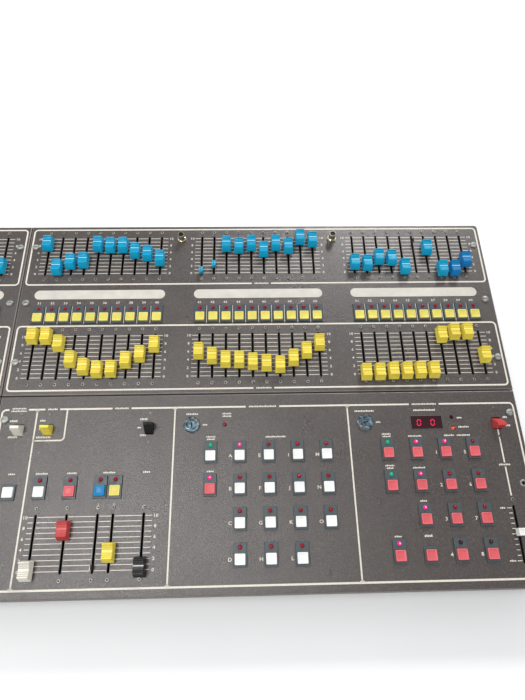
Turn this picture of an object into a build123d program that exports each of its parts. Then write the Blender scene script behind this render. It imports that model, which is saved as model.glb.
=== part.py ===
from build123d import *
from math import cos, radians, sin
import os

# Lighting control desk: two equal modules side by side, sixty channels on two presets,
# fader masters, memory control and chaser control.
# The origin is the middle of the desk's footprint, at the bottom of its feet.
# +X runs to the operator's right, +Y away from the operator, +Z up. Millimetres and degrees.

os.makedirs("parts", exist_ok=True)

# ---------------------------------------------------------------- driving dimensions
PITCH = 18.4                    # from one control column to the next
MODULE_WIDTH = 37 * PITCH       # one module
TOP_DEPTH = 510.0               # the top, front to back, along its slope
PRESET_PANEL_DEPTH = 267.4      # the rear panel, along the slope
PANEL_GAP = 1.0                 # between the rear and the front panel
SEAM = 0.6                      # between the two modules' panels
SLOPE = 8.0                     # the top's slope, down towards the operator
FRONT_HEIGHT = 64.0             # the top's front edge above the floor

SHEET = 2.0                     # panel steel
LIP = 10.0                      # folded panel edge, measured down from the top
EDGE_RADIUS = 2.0               # fold along the panel edges
CORNER_RADIUS = 5.0             # the desk's four corners

FIRST_COLUMN = 30.5             # first fader column, from the module's left edge
BANK_PITCH = 226.2              # from one bank of ten columns to the next
BANK_SIZE = 10

PRESET_ONE_ROW = -52.4          # row centres, down the slope from the rear edge
FLASH_ROW = -149.7
PRESET_TWO_ROW = -212.5
KEY_ROW = -309.7
PADDLE_ROW = -313.3
PADDLE_SCREW_ROW = -311.4
PLAYBACK_BUTTON_ROW = -385.6
MASTER_ROW = -449.6
STRIP_ROW = -117.4
PLAYBACK_STRIP_ROW = -348.0

FADER_TRAVEL = 60.0
FADER_SCREW_SPACING = 80.0
SLOT_LENGTH = 66.4
SLOT_WIDTH = 3.0
FADER_BODY = (9.5, 88.0, 8.5)

CAP_LENGTH = 22.4
CAP_WIDTH = 14.0
CAP_BASE = 3.0                  # underside of a cap above the panel
CAP_HEIGHT = 12.0
LEVER = (1.2, 6.0)

BEZEL = (16.3, 27.4)
SHORT_BEZEL = (16.3, 19.3)
BEZEL_HEIGHT = 2.0
BUTTON_CAP = 12.6
BUTTON_TOP = 4.6                # cap's top above the panel, at rest
CAP_DROP = 4.5                  # cap's centre below the middle of its bezel
LED_RISE = 8.9                  # lamp's centre above the middle of its bezel
LED_RADIUS = 2.45

PADDLE_LEANS = (-3.5, -4.0, -11.0, 14.0)   # each paddle's lean at rest, towards the operator
PADDLE_PIVOT = -3.5             # its pivot below the panel's surface
PADDLE_DRUM = 7.0
PADDLE_WIDTH = 11.0

FOOT_HEIGHT = 10.0
BASE_SHEET = 2.0

# ---------------------------------------------------------------- derived frame
C = cos(radians(SLOPE))
S = sin(radians(SLOPE))
Y_REAR = (TOP_DEPTH * C - EDGE_RADIUS * (C + S - 1) - LIP * S) / 2
Y_FRONT = Y_REAR - TOP_DEPTH * C
Z_REAR = FRONT_HEIGHT + TOP_DEPTH * S

# The surface of the desk's top: x across from the seam, y up the slope from the rear edge.
TOP = Plane(origin=(0, Y_REAR, Z_REAR), x_dir=(1, 0, 0), z_dir=(0, -S, C))
UNDERSIDE = TOP.offset(-SHEET)
LEFT_MODULE = -MODULE_WIDTH
RIGHT_MODULE = 0.0
MODULES = (LEFT_MODULE, RIGHT_MODULE)
FRONT_PANEL_TOP = -PRESET_PANEL_DEPTH - PANEL_GAP

# ---------------------------------------------------------------- fader settings, 0 to 10
FADED_LEFT = 1.7                # the left module's first preset, all alike
PRESET_ONE_LEVELS = [FADED_LEFT] * 30 + [
    7.9, 1.1, 2.7, 3.0, 7.6, 7.3, 7.3, 5.7, 4.9, 3.5,
    0.2, 1.9, 7.5, 7.0, 7.7, 5.9, 7.7, 6.8, 9.4, 8.7,
    2.1, 1.8, 3.5, 3.2, 0.7, 8.5, 6.2, 0.1, 0.1, 2.7,
]
PRESET_TWO_LEVELS = [0.0] * 30 + [
    9.7, 9.6, 7.8, 3.9, 2.1, 1.4, 1.5, 3.6, 5.0, 7.4,
    5.6, 4.4, 3.5, 3.4, 2.9, 2.5, 2.1, 3.7, 5.5, 7.4,
    0.1, 0.1, 0.3, 0.3, 0.4, 0.4, 9.0, 9.7, 9.8, 3.9,
]
BROKEN_CAPS = (41, 42)          # channels whose first cap has lost its shell
BARE_LEVERS = (56,)             # a channel whose first cap is missing
LOW_LIMIT = 4.0                 # a fader set lower than this belongs to the low group


def bank_column(module, index):
    """x of one of the module's thirty fader columns, counted from 0."""
    return module + FIRST_COLUMN + BANK_PITCH * (index // BANK_SIZE) + PITCH * (index % BANK_SIZE)


def channel_column(channel):
    """x of a channel's column, counted from 1."""
    return bank_column(MODULES[(channel - 1) // 30], (channel - 1) % 30)


def set_to(x, row, level):
    """Place of a fader's lever at a setting from 0 to 10."""
    return (x, row + (level / 10 - 0.5) * FADER_TRAVEL)


# ---------------------------------------------------------------- places on the top
CHANNELS = range(1, 61)
CHANNEL_COLUMNS = [channel_column(channel) for channel in CHANNELS]
PLAYBACK_COLUMNS = [
    bank_column(LEFT_MODULE, 10 * bank + 2 * step)
    for bank in range(3)
    for step in range(5)
]

MEMORY_MASTER = RIGHT_MODULE + FIRST_COLUMN + 2 * PITCH
CHASE_MASTER = RIGHT_MODULE + FIRST_COLUMN + 4 * PITCH
PRESET_ONE_MASTER = RIGHT_MODULE + FIRST_COLUMN + 6 * PITCH
PRESET_TWO_MASTER = RIGHT_MODULE + FIRST_COLUMN + 7 * PITCH
GRAND_MASTER = RIGHT_MODULE + FIRST_COLUMN + 9 * PITCH
SPEED_COLUMN = RIGHT_MODULE + 648.5
CLEAR_COLUMN = RIGHT_MODULE + FIRST_COLUMN
MASTER_COLUMNS = [
    MEMORY_MASTER,
    CHASE_MASTER,
    PRESET_ONE_MASTER,
    PRESET_TWO_MASTER,
    GRAND_MASTER,
    SPEED_COLUMN,
]

FADERS = (
    [(x, PRESET_ONE_ROW) for x in CHANNEL_COLUMNS]
    + [(x, PRESET_TWO_ROW) for x in CHANNEL_COLUMNS]
    + [(x, MASTER_ROW) for x in PLAYBACK_COLUMNS + MASTER_COLUMNS]
)

# Memory and chaser buttons stand on a grid of rows, two pitches apart across.
GRID_TOP = -345.3
GRID_STEP = 40.4
PLAIN_DROP = 4.6                # a bezel with no lamp stands this much lower in its row
MEMORY_GRID = RIGHT_MODULE + 275.1
CHASE_GRID = RIGHT_MODULE + 501.3


def grid_place(origin, column, row):
    return (origin + 2 * PITCH * column, GRID_TOP - GRID_STEP * row)


MEMORY_PLACES = [grid_place(MEMORY_GRID, 0, 0)]
MEMORY_PLACES += [grid_place(MEMORY_GRID, column, row) for column in (1, 2, 3) for row in range(4)]
MEMORY_PLACES += [grid_place(MEMORY_GRID, 4, row) for row in range(3)]
HOLD_PLACE = grid_place(MEMORY_GRID, 0, 1)
CHASE_PLACES = [grid_place(CHASE_GRID, 0, row) for row in (0, 1, 3)]
CHASE_PLACES += [grid_place(CHASE_GRID, 1, row) for row in range(3)]
CHASE_PLACES += [grid_place(CHASE_GRID, column, row) for column in (2, 3) for row in range(4)]
STEP_PLACE = (CHASE_GRID + 2 * PITCH, GRID_TOP - 3 * GRID_STEP - PLAIN_DROP)
CLEAR_PLACE = (CLEAR_COLUMN, PLAYBACK_BUTTON_ROW - PLAIN_DROP)
FLASH_PLACES = [(x, FLASH_ROW) for x in CHANNEL_COLUMNS]
PLAYBACK_PLACES = [(x, PLAYBACK_BUTTON_ROW) for x in PLAYBACK_COLUMNS]
MASTER_BUTTONS = [(x, PLAYBACK_BUTTON_ROW) for x in MASTER_COLUMNS[:4]]

LAMP_BUTTONS = FLASH_PLACES + PLAYBACK_PLACES + MASTER_BUTTONS + MEMORY_PLACES + [HOLD_PLACE] + CHASE_PLACES
PLAIN_BUTTONS = [CLEAR_PLACE, STEP_PLACE]

PADDLES = {
    "playback_mode_paddle": (CLEAR_COLUMN, PADDLE_ROW, PADDLE_LEANS[0]),
    "flash_mode_paddle": (MEMORY_MASTER, PADDLE_ROW, PADDLE_LEANS[1]),
    "blackout_paddle": (GRAND_MASTER, PADDLE_ROW, PADDLE_LEANS[2]),
    "speed_range_paddle": (SPEED_COLUMN, PADDLE_ROW, PADDLE_LEANS[3]),
}
PADDLE_PLACES = [(x, y) for x, y, tilt in PADDLES.values()]
PADDLE_SCREW_PLACES = [(x, PADDLE_SCREW_ROW) for x, y, tilt in PADDLES.values()]
MEMORY_KEY = (RIGHT_MODULE + 250.2, KEY_ROW)
CHASE_KEY = (RIGHT_MODULE + 475.5, KEY_ROW)
DISPLAY = (RIGHT_MODULE + 556.0, -311.0)
DISPLAY_SIZE = (41.0, 17.2)
UP_LAMP = (RIGHT_MODULE + 590.1, -304.2)
DOWN_LAMP = (RIGHT_MODULE + 590.1, -318.8)
ERROR_LAMP = (RIGHT_MODULE + 292.9, KEY_ROW)
LAMP_SOCKETS = [(module + x, -24.1) for module in MODULES for x in (226.4, 452.6)]

SCREW_COLUMNS = (10.5, 668.9)   # panel screws, from the module's left edge
SCREW_ROWS = (-37.0, -130.0, -220.0, -299.1)
PANEL_SCREWS = [(module + x, y) for module in MODULES for x in SCREW_COLUMNS for y in SCREW_ROWS]
EMPTY_SCREW_HOLE = (RIGHT_MODULE + 667.4, -390.1)


def save(part, name):
    """Label one sub-part and write it to its own file."""
    part.label = name
    export_step(part, f"parts/{name}.step")
    print(name, len(part.solids()))


# ---------------------------------------------------------------- top panels
def inside(points, left, right, rear, front):
    return [(x, y) for x, y in points if left < x < right and front < y < rear]


def folded_panel(left, right, rear, front, corner):
    """A panel of sheet steel with a folded lip all round, cut for its controls."""
    middle = ((left + right) / 2, (rear + front) / 2)
    size = (right - left, rear - front)
    box = (left, right, rear, front)
    with BuildPart() as panel:
        with BuildSketch(TOP):
            with Locations(middle):
                Rectangle(*size)
        extrude(amount=-LIP)
        upright = panel.edges().filter_by(Axis((0, 0, 0), TOP.z_dir))
        outer = upright.sort_by(lambda edge: corner[0] * edge.center().X + corner[1] * edge.center().Y)
        fillet(outer[-1], CORNER_RADIUS)
        fillet(panel.faces().sort_by(Axis((0, 0, 0), TOP.z_dir))[-1].edges(), EDGE_RADIUS)
        with BuildSketch(UNDERSIDE):
            with Locations(middle):
                inner = Rectangle(size[0] - 2 * SHEET, size[1] - 2 * SHEET)
            inner_corners = inner.vertices().sort_by(
                lambda point: corner[0] * point.X + corner[1] * point.Y
            )
            fillet(inner_corners[-1], CORNER_RADIUS - SHEET)
        extrude(amount=-LIP, mode=Mode.SUBTRACT)
        with BuildSketch(TOP):
            for screw_side in (-0.5, 0.5):
                screws = [(x, y + screw_side * FADER_SCREW_SPACING) for x, y in inside(FADERS, *box)]
                with Locations(*screws):
                    Circle(FADER_SCREW_HOLE)
            with Locations(*inside(FADERS, *box)):
                SlotOverall(SLOT_LENGTH, SLOT_WIDTH, rotation=90)
            with Locations(*inside(LAMP_BUTTONS, *box)):
                Rectangle(BODY_CUTOUT[0], BODY_CUTOUT[1])
            with Locations(*inside(PANEL_SCREWS + [EMPTY_SCREW_HOLE], *box)):
                Circle(PANEL_SCREW_HOLE)
            if rear == 0:
                with Locations(*inside(LAMP_SOCKETS, *box)):
                    Circle(SOCKET_HOLE)
            elif left >= 0:
                with Locations(*PLAIN_BUTTONS):
                    Rectangle(SHORT_CUTOUT[0], SHORT_CUTOUT[1])
                with Locations(*PADDLE_PLACES):
                    Rectangle(PADDLE_WIDTH + 0.8, PADDLE_OPENING)
                for side in (-0.5, 0.5):
                    with Locations(*[(x, y + side * PADDLE_SCREW_SPACING) for x, y in PADDLE_SCREW_PLACES]):
                        Circle(PADDLE_SCREW_HOLE)
                with Locations(MEMORY_KEY, CHASE_KEY):
                    Circle(LOCK_BARREL + 0.2)
                with Locations(DISPLAY):
                    Rectangle(DISPLAY_SIZE[0] + 0.4, DISPLAY_SIZE[1] + 0.4)
                with Locations(ERROR_LAMP, UP_LAMP, DOWN_LAMP):
                    Circle(LED_RADIUS + 0.15)
        extrude(amount=-SHEET - 0.5, mode=Mode.SUBTRACT)
    return panel.part


FADER_SCREW_HOLE = 1.4
PANEL_SCREW_HOLE = 2.2
SOCKET_HOLE = 4.9
BODY_CUTOUT = (14.2, 25.6)
SHORT_CUTOUT = (14.2, 17.2)
PADDLE_OPENING = 15.8
PADDLE_SCREW_SPACING = 38.0
PADDLE_SCREW_HOLE = 0.9
LOCK_BARREL = 8.0

HALF_SEAM = SEAM / 2
PANELS = {
    "left_preset_panel": (-MODULE_WIDTH, -HALF_SEAM, 0.0, -PRESET_PANEL_DEPTH, (-1, 1)),
    "right_preset_panel": (HALF_SEAM, MODULE_WIDTH, 0.0, -PRESET_PANEL_DEPTH, (1, 1)),
    "playback_panel": (-MODULE_WIDTH, -HALF_SEAM, FRONT_PANEL_TOP, -TOP_DEPTH, (-1, -1)),
    "control_panel": (HALF_SEAM, MODULE_WIDTH, FRONT_PANEL_TOP, -TOP_DEPTH, (1, -1)),
}
for panel_name, panel_box in PANELS.items():
    save(folded_panel(*panel_box), panel_name)

# ---------------------------------------------------------------- case
CASE_HALF = MODULE_WIDTH - SHEET - 0.5          # outer face of the end panels
END_SHEET = 3.0
FRONT_WALL = Y_FRONT + SHEET * C + LIP * S + 0.4
REAR_WALL = Y_REAR - SHEET * C - 0.4
BASE_Z = FOOT_HEIGHT
CORNER_CUT = 2.7                # the tray's front corners are cut to clear the panels' rounded corners
GROOVE_ROW = -PRESET_PANEL_DEPTH - PANEL_GAP / 2
GROOVE = 2 * SHEET + PANEL_GAP + 1.0            # notch that clears the lips at the groove
SEAM_NOTCH = 2 * SHEET + SEAM + 1.0             # notch that clears the lips at the seam


def under_top(y, gap):
    """Height of a surface parallel to the top and below it by a gap, at a given y."""
    return Z_REAR - (Y_REAR - y) * S / C - gap / C


PANEL_UNDER = SHEET + 0.1
with BuildPart() as base_tray:
    with BuildSketch(Plane.YZ.offset(-CASE_HALF)):
        with BuildLine():
            Polyline(
                (FRONT_WALL, BASE_Z),
                (REAR_WALL, BASE_Z),
                (REAR_WALL, BASE_Z + BASE_SHEET),
                (FRONT_WALL + BASE_SHEET, BASE_Z + BASE_SHEET),
                (FRONT_WALL + BASE_SHEET, under_top(FRONT_WALL + BASE_SHEET, PANEL_UNDER)),
                (FRONT_WALL, under_top(FRONT_WALL, PANEL_UNDER)),
                close=True,
            )
        make_face()
    extrude(amount=2 * CASE_HALF)
    lower_front = base_tray.edges().filter_by(Axis.X).group_by(Axis.Z)[0].sort_by(Axis.Y)[0]
    fillet(lower_front, BASE_SHEET)
    with BuildSketch(Plane.XY):
        with Locations((-CASE_HALF, FRONT_WALL), (CASE_HALF, FRONT_WALL)):
            Rectangle(CORNER_CUT, CORNER_CUT, rotation=45)
    extrude(amount=FRONT_HEIGHT, mode=Mode.SUBTRACT)
    with BuildSketch(UNDERSIDE):
        with Locations((0, -TOP_DEPTH)):
            Rectangle(SEAM_NOTCH, 4 * LIP)
    extrude(amount=-LIP, mode=Mode.SUBTRACT)
save(base_tray.part, "base_tray")


def wedge_plate(start, thickness, front, rear, gap):
    """An upright plate across the case, its top edge following the slope and notched at the groove."""
    with BuildPart() as plate:
        with BuildSketch(Plane.YZ.offset(start)):
            with BuildLine():
                Polyline(
                    (front, BASE_Z + BASE_SHEET),
                    (rear, BASE_Z + BASE_SHEET),
                    (rear, under_top(rear, gap)),
                    (front, under_top(front, gap)),
                    close=True,
                )
            make_face()
        extrude(amount=thickness)
        with BuildSketch(UNDERSIDE):
            with Locations((start + thickness / 2, GROOVE_ROW)):
                Rectangle(2 * thickness, GROOVE)
        extrude(amount=-LIP, mode=Mode.SUBTRACT)
    return plate.part


CASE_FRONT = FRONT_WALL + BASE_SHEET
CASE_REAR = REAR_WALL - BASE_SHEET
save(wedge_plate(-CASE_HALF, END_SHEET, CASE_FRONT, CASE_REAR, PANEL_UNDER), "left_end_panel")
save(wedge_plate(CASE_HALF - END_SHEET, END_SHEET, CASE_FRONT, CASE_REAR, PANEL_UNDER), "right_end_panel")
BULKHEAD = 3.0
bulkhead = wedge_plate(-BULKHEAD / 2, BULKHEAD, CASE_FRONT, CASE_REAR, LIP + 1.0)
save(bulkhead, "centre_bulkhead")

# ---------------------------------------------------------------- rear panel and its connectors
REAR_HALF = CASE_HALF - END_SHEET
REAR_PLANE = Plane(origin=(0, REAR_WALL, 0), x_dir=(-1, 0, 0), z_dir=(0, 1, 0))
REAR_TOP = under_top(CASE_REAR, PANEL_UNDER)
OUTPUT_X = (-120.0, -210.0, -300.0)             # seen from behind, in the right module
CONNECTOR_Z = 72.0
OUTPUT_SHELL = (62.0, 22.0)
CONNECTOR_PROUD = 3.0
INLET_X = 560.0                                  # seen from behind, in the left module
INLET_FLANGE = (50.0, 28.0)
INLET_BODY = (28.0, 20.6)
INLET_CAVITY = (24.4, 17.0)
VENT = (3.2, 24.0)

with BuildPart() as rear_panel:
    with BuildSketch(REAR_PLANE):
        with Locations((0, (BASE_Z + BASE_SHEET + REAR_TOP) / 2)):
            Rectangle(2 * REAR_HALF - 0.4, REAR_TOP - BASE_Z - BASE_SHEET)
        with Locations(*[(x, CONNECTOR_Z) for x in OUTPUT_X]):
            Rectangle(OUTPUT_SHELL[0] - 8, OUTPUT_SHELL[1] - 6, mode=Mode.SUBTRACT)
        with Locations((INLET_X, CONNECTOR_Z)):
            Rectangle(INLET_BODY[0] + 0.4, INLET_BODY[1] + 0.4, mode=Mode.SUBTRACT)
        with Locations((360, CONNECTOR_Z), (-500, CONNECTOR_Z)):
            with GridLocations(9, 40, 14, 1):
                SlotOverall(VENT[1], VENT[0], rotation=90, mode=Mode.SUBTRACT)
    extrude(amount=-BASE_SHEET)
    with BuildSketch(UNDERSIDE):
        Rectangle(SEAM_NOTCH, 4 * LIP)
    extrude(amount=-LIP, mode=Mode.SUBTRACT)
save(rear_panel.part, "rear_panel")

with BuildPart() as output_connectors:
    with BuildSketch(REAR_PLANE):
        with Locations(*[(x, CONNECTOR_Z) for x in OUTPUT_X]):
            RectangleRounded(OUTPUT_SHELL[0], OUTPUT_SHELL[1], 3)
    extrude(amount=CONNECTOR_PROUD)
    with BuildSketch(REAR_PLANE):
        with Locations(*[(x, CONNECTOR_Z) for x in OUTPUT_X]):
            Rectangle(OUTPUT_SHELL[0] - 8.4, OUTPUT_SHELL[1] - 6.4)
    extrude(amount=-14)
    with BuildSketch(REAR_PLANE.offset(CONNECTOR_PROUD)):
        with Locations(*[(x, CONNECTOR_Z) for x in OUTPUT_X]):
            with GridLocations(4.6, 4.6, 10, 3):
                Circle(0.9)
    extrude(amount=-3, mode=Mode.SUBTRACT)
save(output_connectors.part, "output_connectors")

INLET_DEPTH = 15.0
with BuildPart() as mains_inlet:
    with BuildSketch(REAR_PLANE):
        with Locations((INLET_X, CONNECTOR_Z)):
            RectangleRounded(INLET_FLANGE[0], INLET_FLANGE[1], 4)
    extrude(amount=CONNECTOR_PROUD)
    with BuildSketch(REAR_PLANE):
        with Locations((INLET_X, CONNECTOR_Z)):
            Rectangle(INLET_BODY[0], INLET_BODY[1])
    extrude(amount=-18)
    with BuildSketch(REAR_PLANE.offset(CONNECTOR_PROUD)):
        with Locations((INLET_X, CONNECTOR_Z)):
            Rectangle(INLET_CAVITY[0], INLET_CAVITY[1])
    extrude(amount=-INLET_DEPTH, mode=Mode.SUBTRACT)
    with BuildSketch(REAR_PLANE.offset(CONNECTOR_PROUD - INLET_DEPTH)):
        with Locations(
            (INLET_X, CONNECTOR_Z + 2.5),
            (INLET_X - 7, CONNECTOR_Z - 2.5),
            (INLET_X + 7, CONNECTOR_Z - 2.5),
        ):
            Rectangle(2, 4)
    extrude(amount=9)
save(mains_inlet.part, "mains_inlet")

# ---------------------------------------------------------------- brackets, rails, feet
BRACKET_LEG = 8.0
BRACKET_STARTS = (5.7, MODULE_WIDTH - 20.7)
BRACKET_WIDTH = 15.0
with BuildPart() as panel_brackets:
    bracket_places = [(module + start, -24.0) for module in MODULES for start in BRACKET_STARTS]
    with BuildSketch(UNDERSIDE):
        with Locations(*bracket_places):
            Rectangle(BRACKET_WIDTH, TOP_DEPTH - 60, align=(Align.MIN, Align.MAX))
    extrude(amount=-3.0)
    with BuildSketch(UNDERSIDE):
        for module in MODULES:
            with Locations(
                (module + BRACKET_STARTS[0], -24),
                (module + BRACKET_STARTS[1] + BRACKET_WIDTH - 2, -24),
            ):
                Rectangle(2.0, TOP_DEPTH - 60, align=(Align.MIN, Align.MAX))
    extrude(amount=-BRACKET_LEG)
    with BuildSketch(UNDERSIDE):
        with Locations(*PANEL_SCREWS, EMPTY_SCREW_HOLE):
            Circle(2.1)
        with Locations((0, GROOVE_ROW)):
            Rectangle(2 * MODULE_WIDTH, GROOVE)
    extrude(amount=-LIP, mode=Mode.SUBTRACT)
save(panel_brackets.part, "panel_brackets")

RAIL = (20.0, 15.0)
RAIL_ENDS = (
    (-CASE_HALF + END_SHEET + 0.2, -BULKHEAD / 2 - 0.2),
    (BULKHEAD / 2 + 0.2, CASE_HALF - END_SHEET - 0.2),
)
with BuildPart() as support_rails:
    for rail_start, rail_end in RAIL_ENDS:
        with BuildSketch(TOP.offset(-LIP - 0.3)):
            with Locations(((rail_start + rail_end) / 2, GROOVE_ROW)):
                Rectangle(rail_end - rail_start, RAIL[0])
        extrude(amount=-RAIL[1])
        with BuildSketch(TOP.offset(-LIP - 0.3 - 2)):
            with Locations(((rail_start + rail_end) / 2, GROOVE_ROW)):
                Rectangle(rail_end - rail_start, RAIL[0] - 4)
        extrude(amount=-RAIL[1], mode=Mode.SUBTRACT)
save(support_rails.part, "support_rails")

FOOT_RADIUS = 15.0
FOOT_PLACES = [(x, y) for x in (-620, 0, 620) for y in (-205, 190)]
with BuildPart() as rubber_feet:
    with BuildSketch():
        with Locations(*FOOT_PLACES):
            Circle(FOOT_RADIUS)
    extrude(amount=FOOT_HEIGHT, taper=-4)
    fillet(rubber_feet.edges().group_by(Axis.Z)[0], 1.2)
save(rubber_feet.part, "rubber_feet")

# ---------------------------------------------------------------- faders
with BuildPart() as fader_bodies:
    with BuildSketch(UNDERSIDE):
        with Locations(*FADERS):
            Rectangle(FADER_BODY[0], FADER_BODY[1])
    extrude(amount=-FADER_BODY[2])
    with BuildSketch(UNDERSIDE):
        with Locations(*FADERS):
            SlotOverall(SLOT_LENGTH, SLOT_WIDTH, rotation=90)
    extrude(amount=-6.5, mode=Mode.SUBTRACT)
    with BuildSketch(UNDERSIDE):
        for screw_side in (-0.5, 0.5):
            with Locations(*[(x, y + screw_side * FADER_SCREW_SPACING) for x, y in FADERS]):
                Circle(FADER_SCREW_HOLE)
    extrude(amount=-6.0, mode=Mode.SUBTRACT)
save(fader_bodies.part, "fader_bodies")


def pan_screw(head_radius, head_height, shank_radius, shank_length):
    """A pan-head screw, standing on the panel's surface at z = 0."""
    with BuildPart() as screw:
        with BuildSketch(Plane.XZ):
            with BuildLine():
                Polyline(
                    (0, head_height),
                    (0, -shank_length),
                    (shank_radius, -shank_length),
                    (shank_radius, 0),
                    (head_radius, 0),
                    (head_radius, head_height * 0.45),
                    (head_radius * 0.82, head_height * 0.85),
                    (head_radius * 0.5, head_height),
                    close=True,
                )
            make_face()
        revolve(axis=Axis.Z)
    return screw.part


small_screw = pan_screw(2.2, 1.3, 1.3, 6.5)
tiny_screw = pan_screw(1.3, 0.8, 0.8, 4.0)
with BuildPart(TOP) as control_screws:
    for screw_side in (-0.5, 0.5):
        with Locations(*[(x, y + screw_side * FADER_SCREW_SPACING) for x, y in FADERS]):
            add(small_screw)
        with Locations(*[(x, y + screw_side * PADDLE_SCREW_SPACING) for x, y in PADDLE_SCREW_PLACES]):
            add(tiny_screw)
save(control_screws.part, "control_screws")

with BuildPart() as slotted_screw:
    add(pan_screw(4.9, 2.6, 2.0, 8.0))
    with BuildSketch(Plane.XY.offset(2.6)):
        Rectangle(11.0, 1.2)
    extrude(amount=-1.1, mode=Mode.SUBTRACT)
with BuildPart(TOP) as panel_screws:
    with Locations(*PANEL_SCREWS):
        add(slotted_screw.part)
save(panel_screws.part, "panel_screws")


# A cap's side view is a steep front, a ridge for the finger, a hollow saddle and a high rear edge.
HALF_CAP = CAP_LENGTH / 2
CAP_TOP = CAP_BASE + CAP_HEIGHT
FRONT_RIDGE = (-6.6, CAP_TOP - 0.8)
REAR_RIDGE = (9.6, CAP_TOP)
SADDLE = (0.6, CAP_TOP - 2.4)
with BuildPart() as lever:
    with BuildSketch(Plane.XY.offset(-7.5)):
        Rectangle(*LEVER)
    extrude(amount=7.5 + CAP_BASE + 8)

with BuildPart() as cap:
    with BuildSketch(Plane.YZ):
        with BuildLine():
            Polyline(FRONT_RIDGE, (-HALF_CAP, CAP_BASE), (HALF_CAP, CAP_BASE), REAR_RIDGE)
            ThreePointArc(REAR_RIDGE, SADDLE, FRONT_RIDGE)
        make_face()
    extrude(amount=CAP_WIDTH / 2, both=True)
    chamfer(cap.faces().sort_by(Axis.Z)[-1].edges().filter_by(Axis.X), 0.3)
    with BuildSketch(Plane.XY.offset(CAP_BASE)):
        Rectangle(LEVER[0] + 0.2, LEVER[1] + 0.2)
    extrude(amount=8.2, mode=Mode.SUBTRACT)

with BuildPart() as cap_stub:
    with BuildSketch(Plane.XY.offset(CAP_BASE)):
        RectangleRounded(6.0, 9.6, 2.6)
    extrude(amount=8.6)
    with BuildSketch(Plane.XY.offset(CAP_BASE)):
        Rectangle(LEVER[0] + 0.2, LEVER[1] + 0.2)
    extrude(amount=8.2, mode=Mode.SUBTRACT)

with BuildPart() as speed_cap:
    with BuildSketch(Plane.XY.offset(CAP_BASE)):
        RectangleRounded(10.0, 8.8, 1.2)
    extrude(amount=9.0)
    fillet(speed_cap.faces().sort_by(Axis.Z)[-1].edges(), 0.8)
    with BuildSketch(Plane.XY.offset(CAP_BASE)):
        Rectangle(LEVER[0] + 0.2, LEVER[1] + 0.2)
    extrude(amount=8.2, mode=Mode.SUBTRACT)


def fader_group(places, name, broken=(), bare=()):
    """Levers and caps of one or more faders; some caps may be broken or missing."""
    capped = [place for place in places if place not in broken and place not in bare]
    with BuildPart(TOP) as group:
        with Locations(*places):
            add(lever.part)
        with Locations(*capped):
            add(cap.part)
        if broken:
            with Locations(*broken):
                add(cap_stub.part)
    save(group.part, name)


PRESET_ONE = {c: set_to(channel_column(c), PRESET_ONE_ROW, PRESET_ONE_LEVELS[c - 1]) for c in CHANNELS}
PRESET_TWO = {c: set_to(channel_column(c), PRESET_TWO_ROW, PRESET_TWO_LEVELS[c - 1]) for c in CHANNELS}
RIGHT_CHANNELS = range(32, 61)
ONE_LOW = [c for c in RIGHT_CHANNELS if PRESET_ONE_LEVELS[c - 1] < LOW_LIMIT]
ONE_HIGH = [c for c in RIGHT_CHANNELS if PRESET_ONE_LEVELS[c - 1] >= LOW_LIMIT]
TWO_LOW = [c for c in RIGHT_CHANNELS if PRESET_TWO_LEVELS[c - 1] < LOW_LIMIT]
TWO_HIGH = [c for c in RIGHT_CHANNELS if PRESET_TWO_LEVELS[c - 1] >= LOW_LIMIT]
broken_places = [PRESET_ONE[c] for c in BROKEN_CAPS]
bare_places = [PRESET_ONE[c] for c in BARE_LEVERS]

fader_group([PRESET_ONE[c] for c in range(1, 31)], "left_preset_one_faders")
fader_group([PRESET_TWO[c] for c in range(1, 31)], "left_preset_two_faders")
fader_group([PRESET_ONE[c] for c in ONE_LOW], "preset_one_low_faders", broken=broken_places)
fader_group([PRESET_ONE[c] for c in ONE_HIGH], "preset_one_high_faders", bare=bare_places)
fader_group([PRESET_TWO[c] for c in TWO_LOW], "preset_two_low_faders")
fader_group([PRESET_TWO[c] for c in TWO_HIGH], "preset_two_high_faders")
fader_group([PRESET_ONE[31]], "channel_31_preset_one_fader")
fader_group([PRESET_TWO[31]], "channel_31_preset_two_fader")
fader_group([set_to(x, MASTER_ROW, 0.0) for x in PLAYBACK_COLUMNS], "playback_faders")
fader_group([set_to(MEMORY_MASTER, MASTER_ROW, 0.2)], "memory_master_fader")
fader_group([set_to(CHASE_MASTER, MASTER_ROW, 7.4)], "chase_master_fader")
bare_master = set_to(PRESET_ONE_MASTER, MASTER_ROW, 0.6)
fader_group([bare_master], "preset_one_master_fader", bare=[bare_master])
fader_group([set_to(PRESET_TWO_MASTER, MASTER_ROW, 3.2)], "preset_two_master_fader")
fader_group([set_to(GRAND_MASTER, MASTER_ROW, 0.5)], "grand_master_fader")
with BuildPart(TOP) as chase_speed_fader:
    with Locations(set_to(SPEED_COLUMN, MASTER_ROW, 5.3)):
        add(lever.part)
        add(speed_cap.part)
save(chase_speed_fader.part, "chase_speed_fader")

# ---------------------------------------------------------------- buttons and lamps
BODY_DEPTH = 16.0
POCKET = 13.3
POCKET_DEPTH = 8.5
with BuildPart() as lamp_housing:
    with BuildSketch():
        Rectangle(BEZEL[0], BEZEL[1])
    extrude(amount=BEZEL_HEIGHT)
    chamfer(lamp_housing.faces().sort_by(Axis.Z)[-1].edges(), 0.4)
    with BuildSketch():
        Rectangle(BODY_CUTOUT[0] - 0.4, BODY_CUTOUT[1] - 0.4)
    extrude(amount=-BODY_DEPTH)
    with BuildSketch(Plane.XY.offset(BEZEL_HEIGHT)):
        with Locations((0, -CAP_DROP)):
            Rectangle(POCKET, POCKET)
    extrude(amount=-POCKET_DEPTH, mode=Mode.SUBTRACT)
    with Locations((0, LED_RISE, BEZEL_HEIGHT)):
        Hole(LED_RADIUS + 0.1, depth=7.0)

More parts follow.
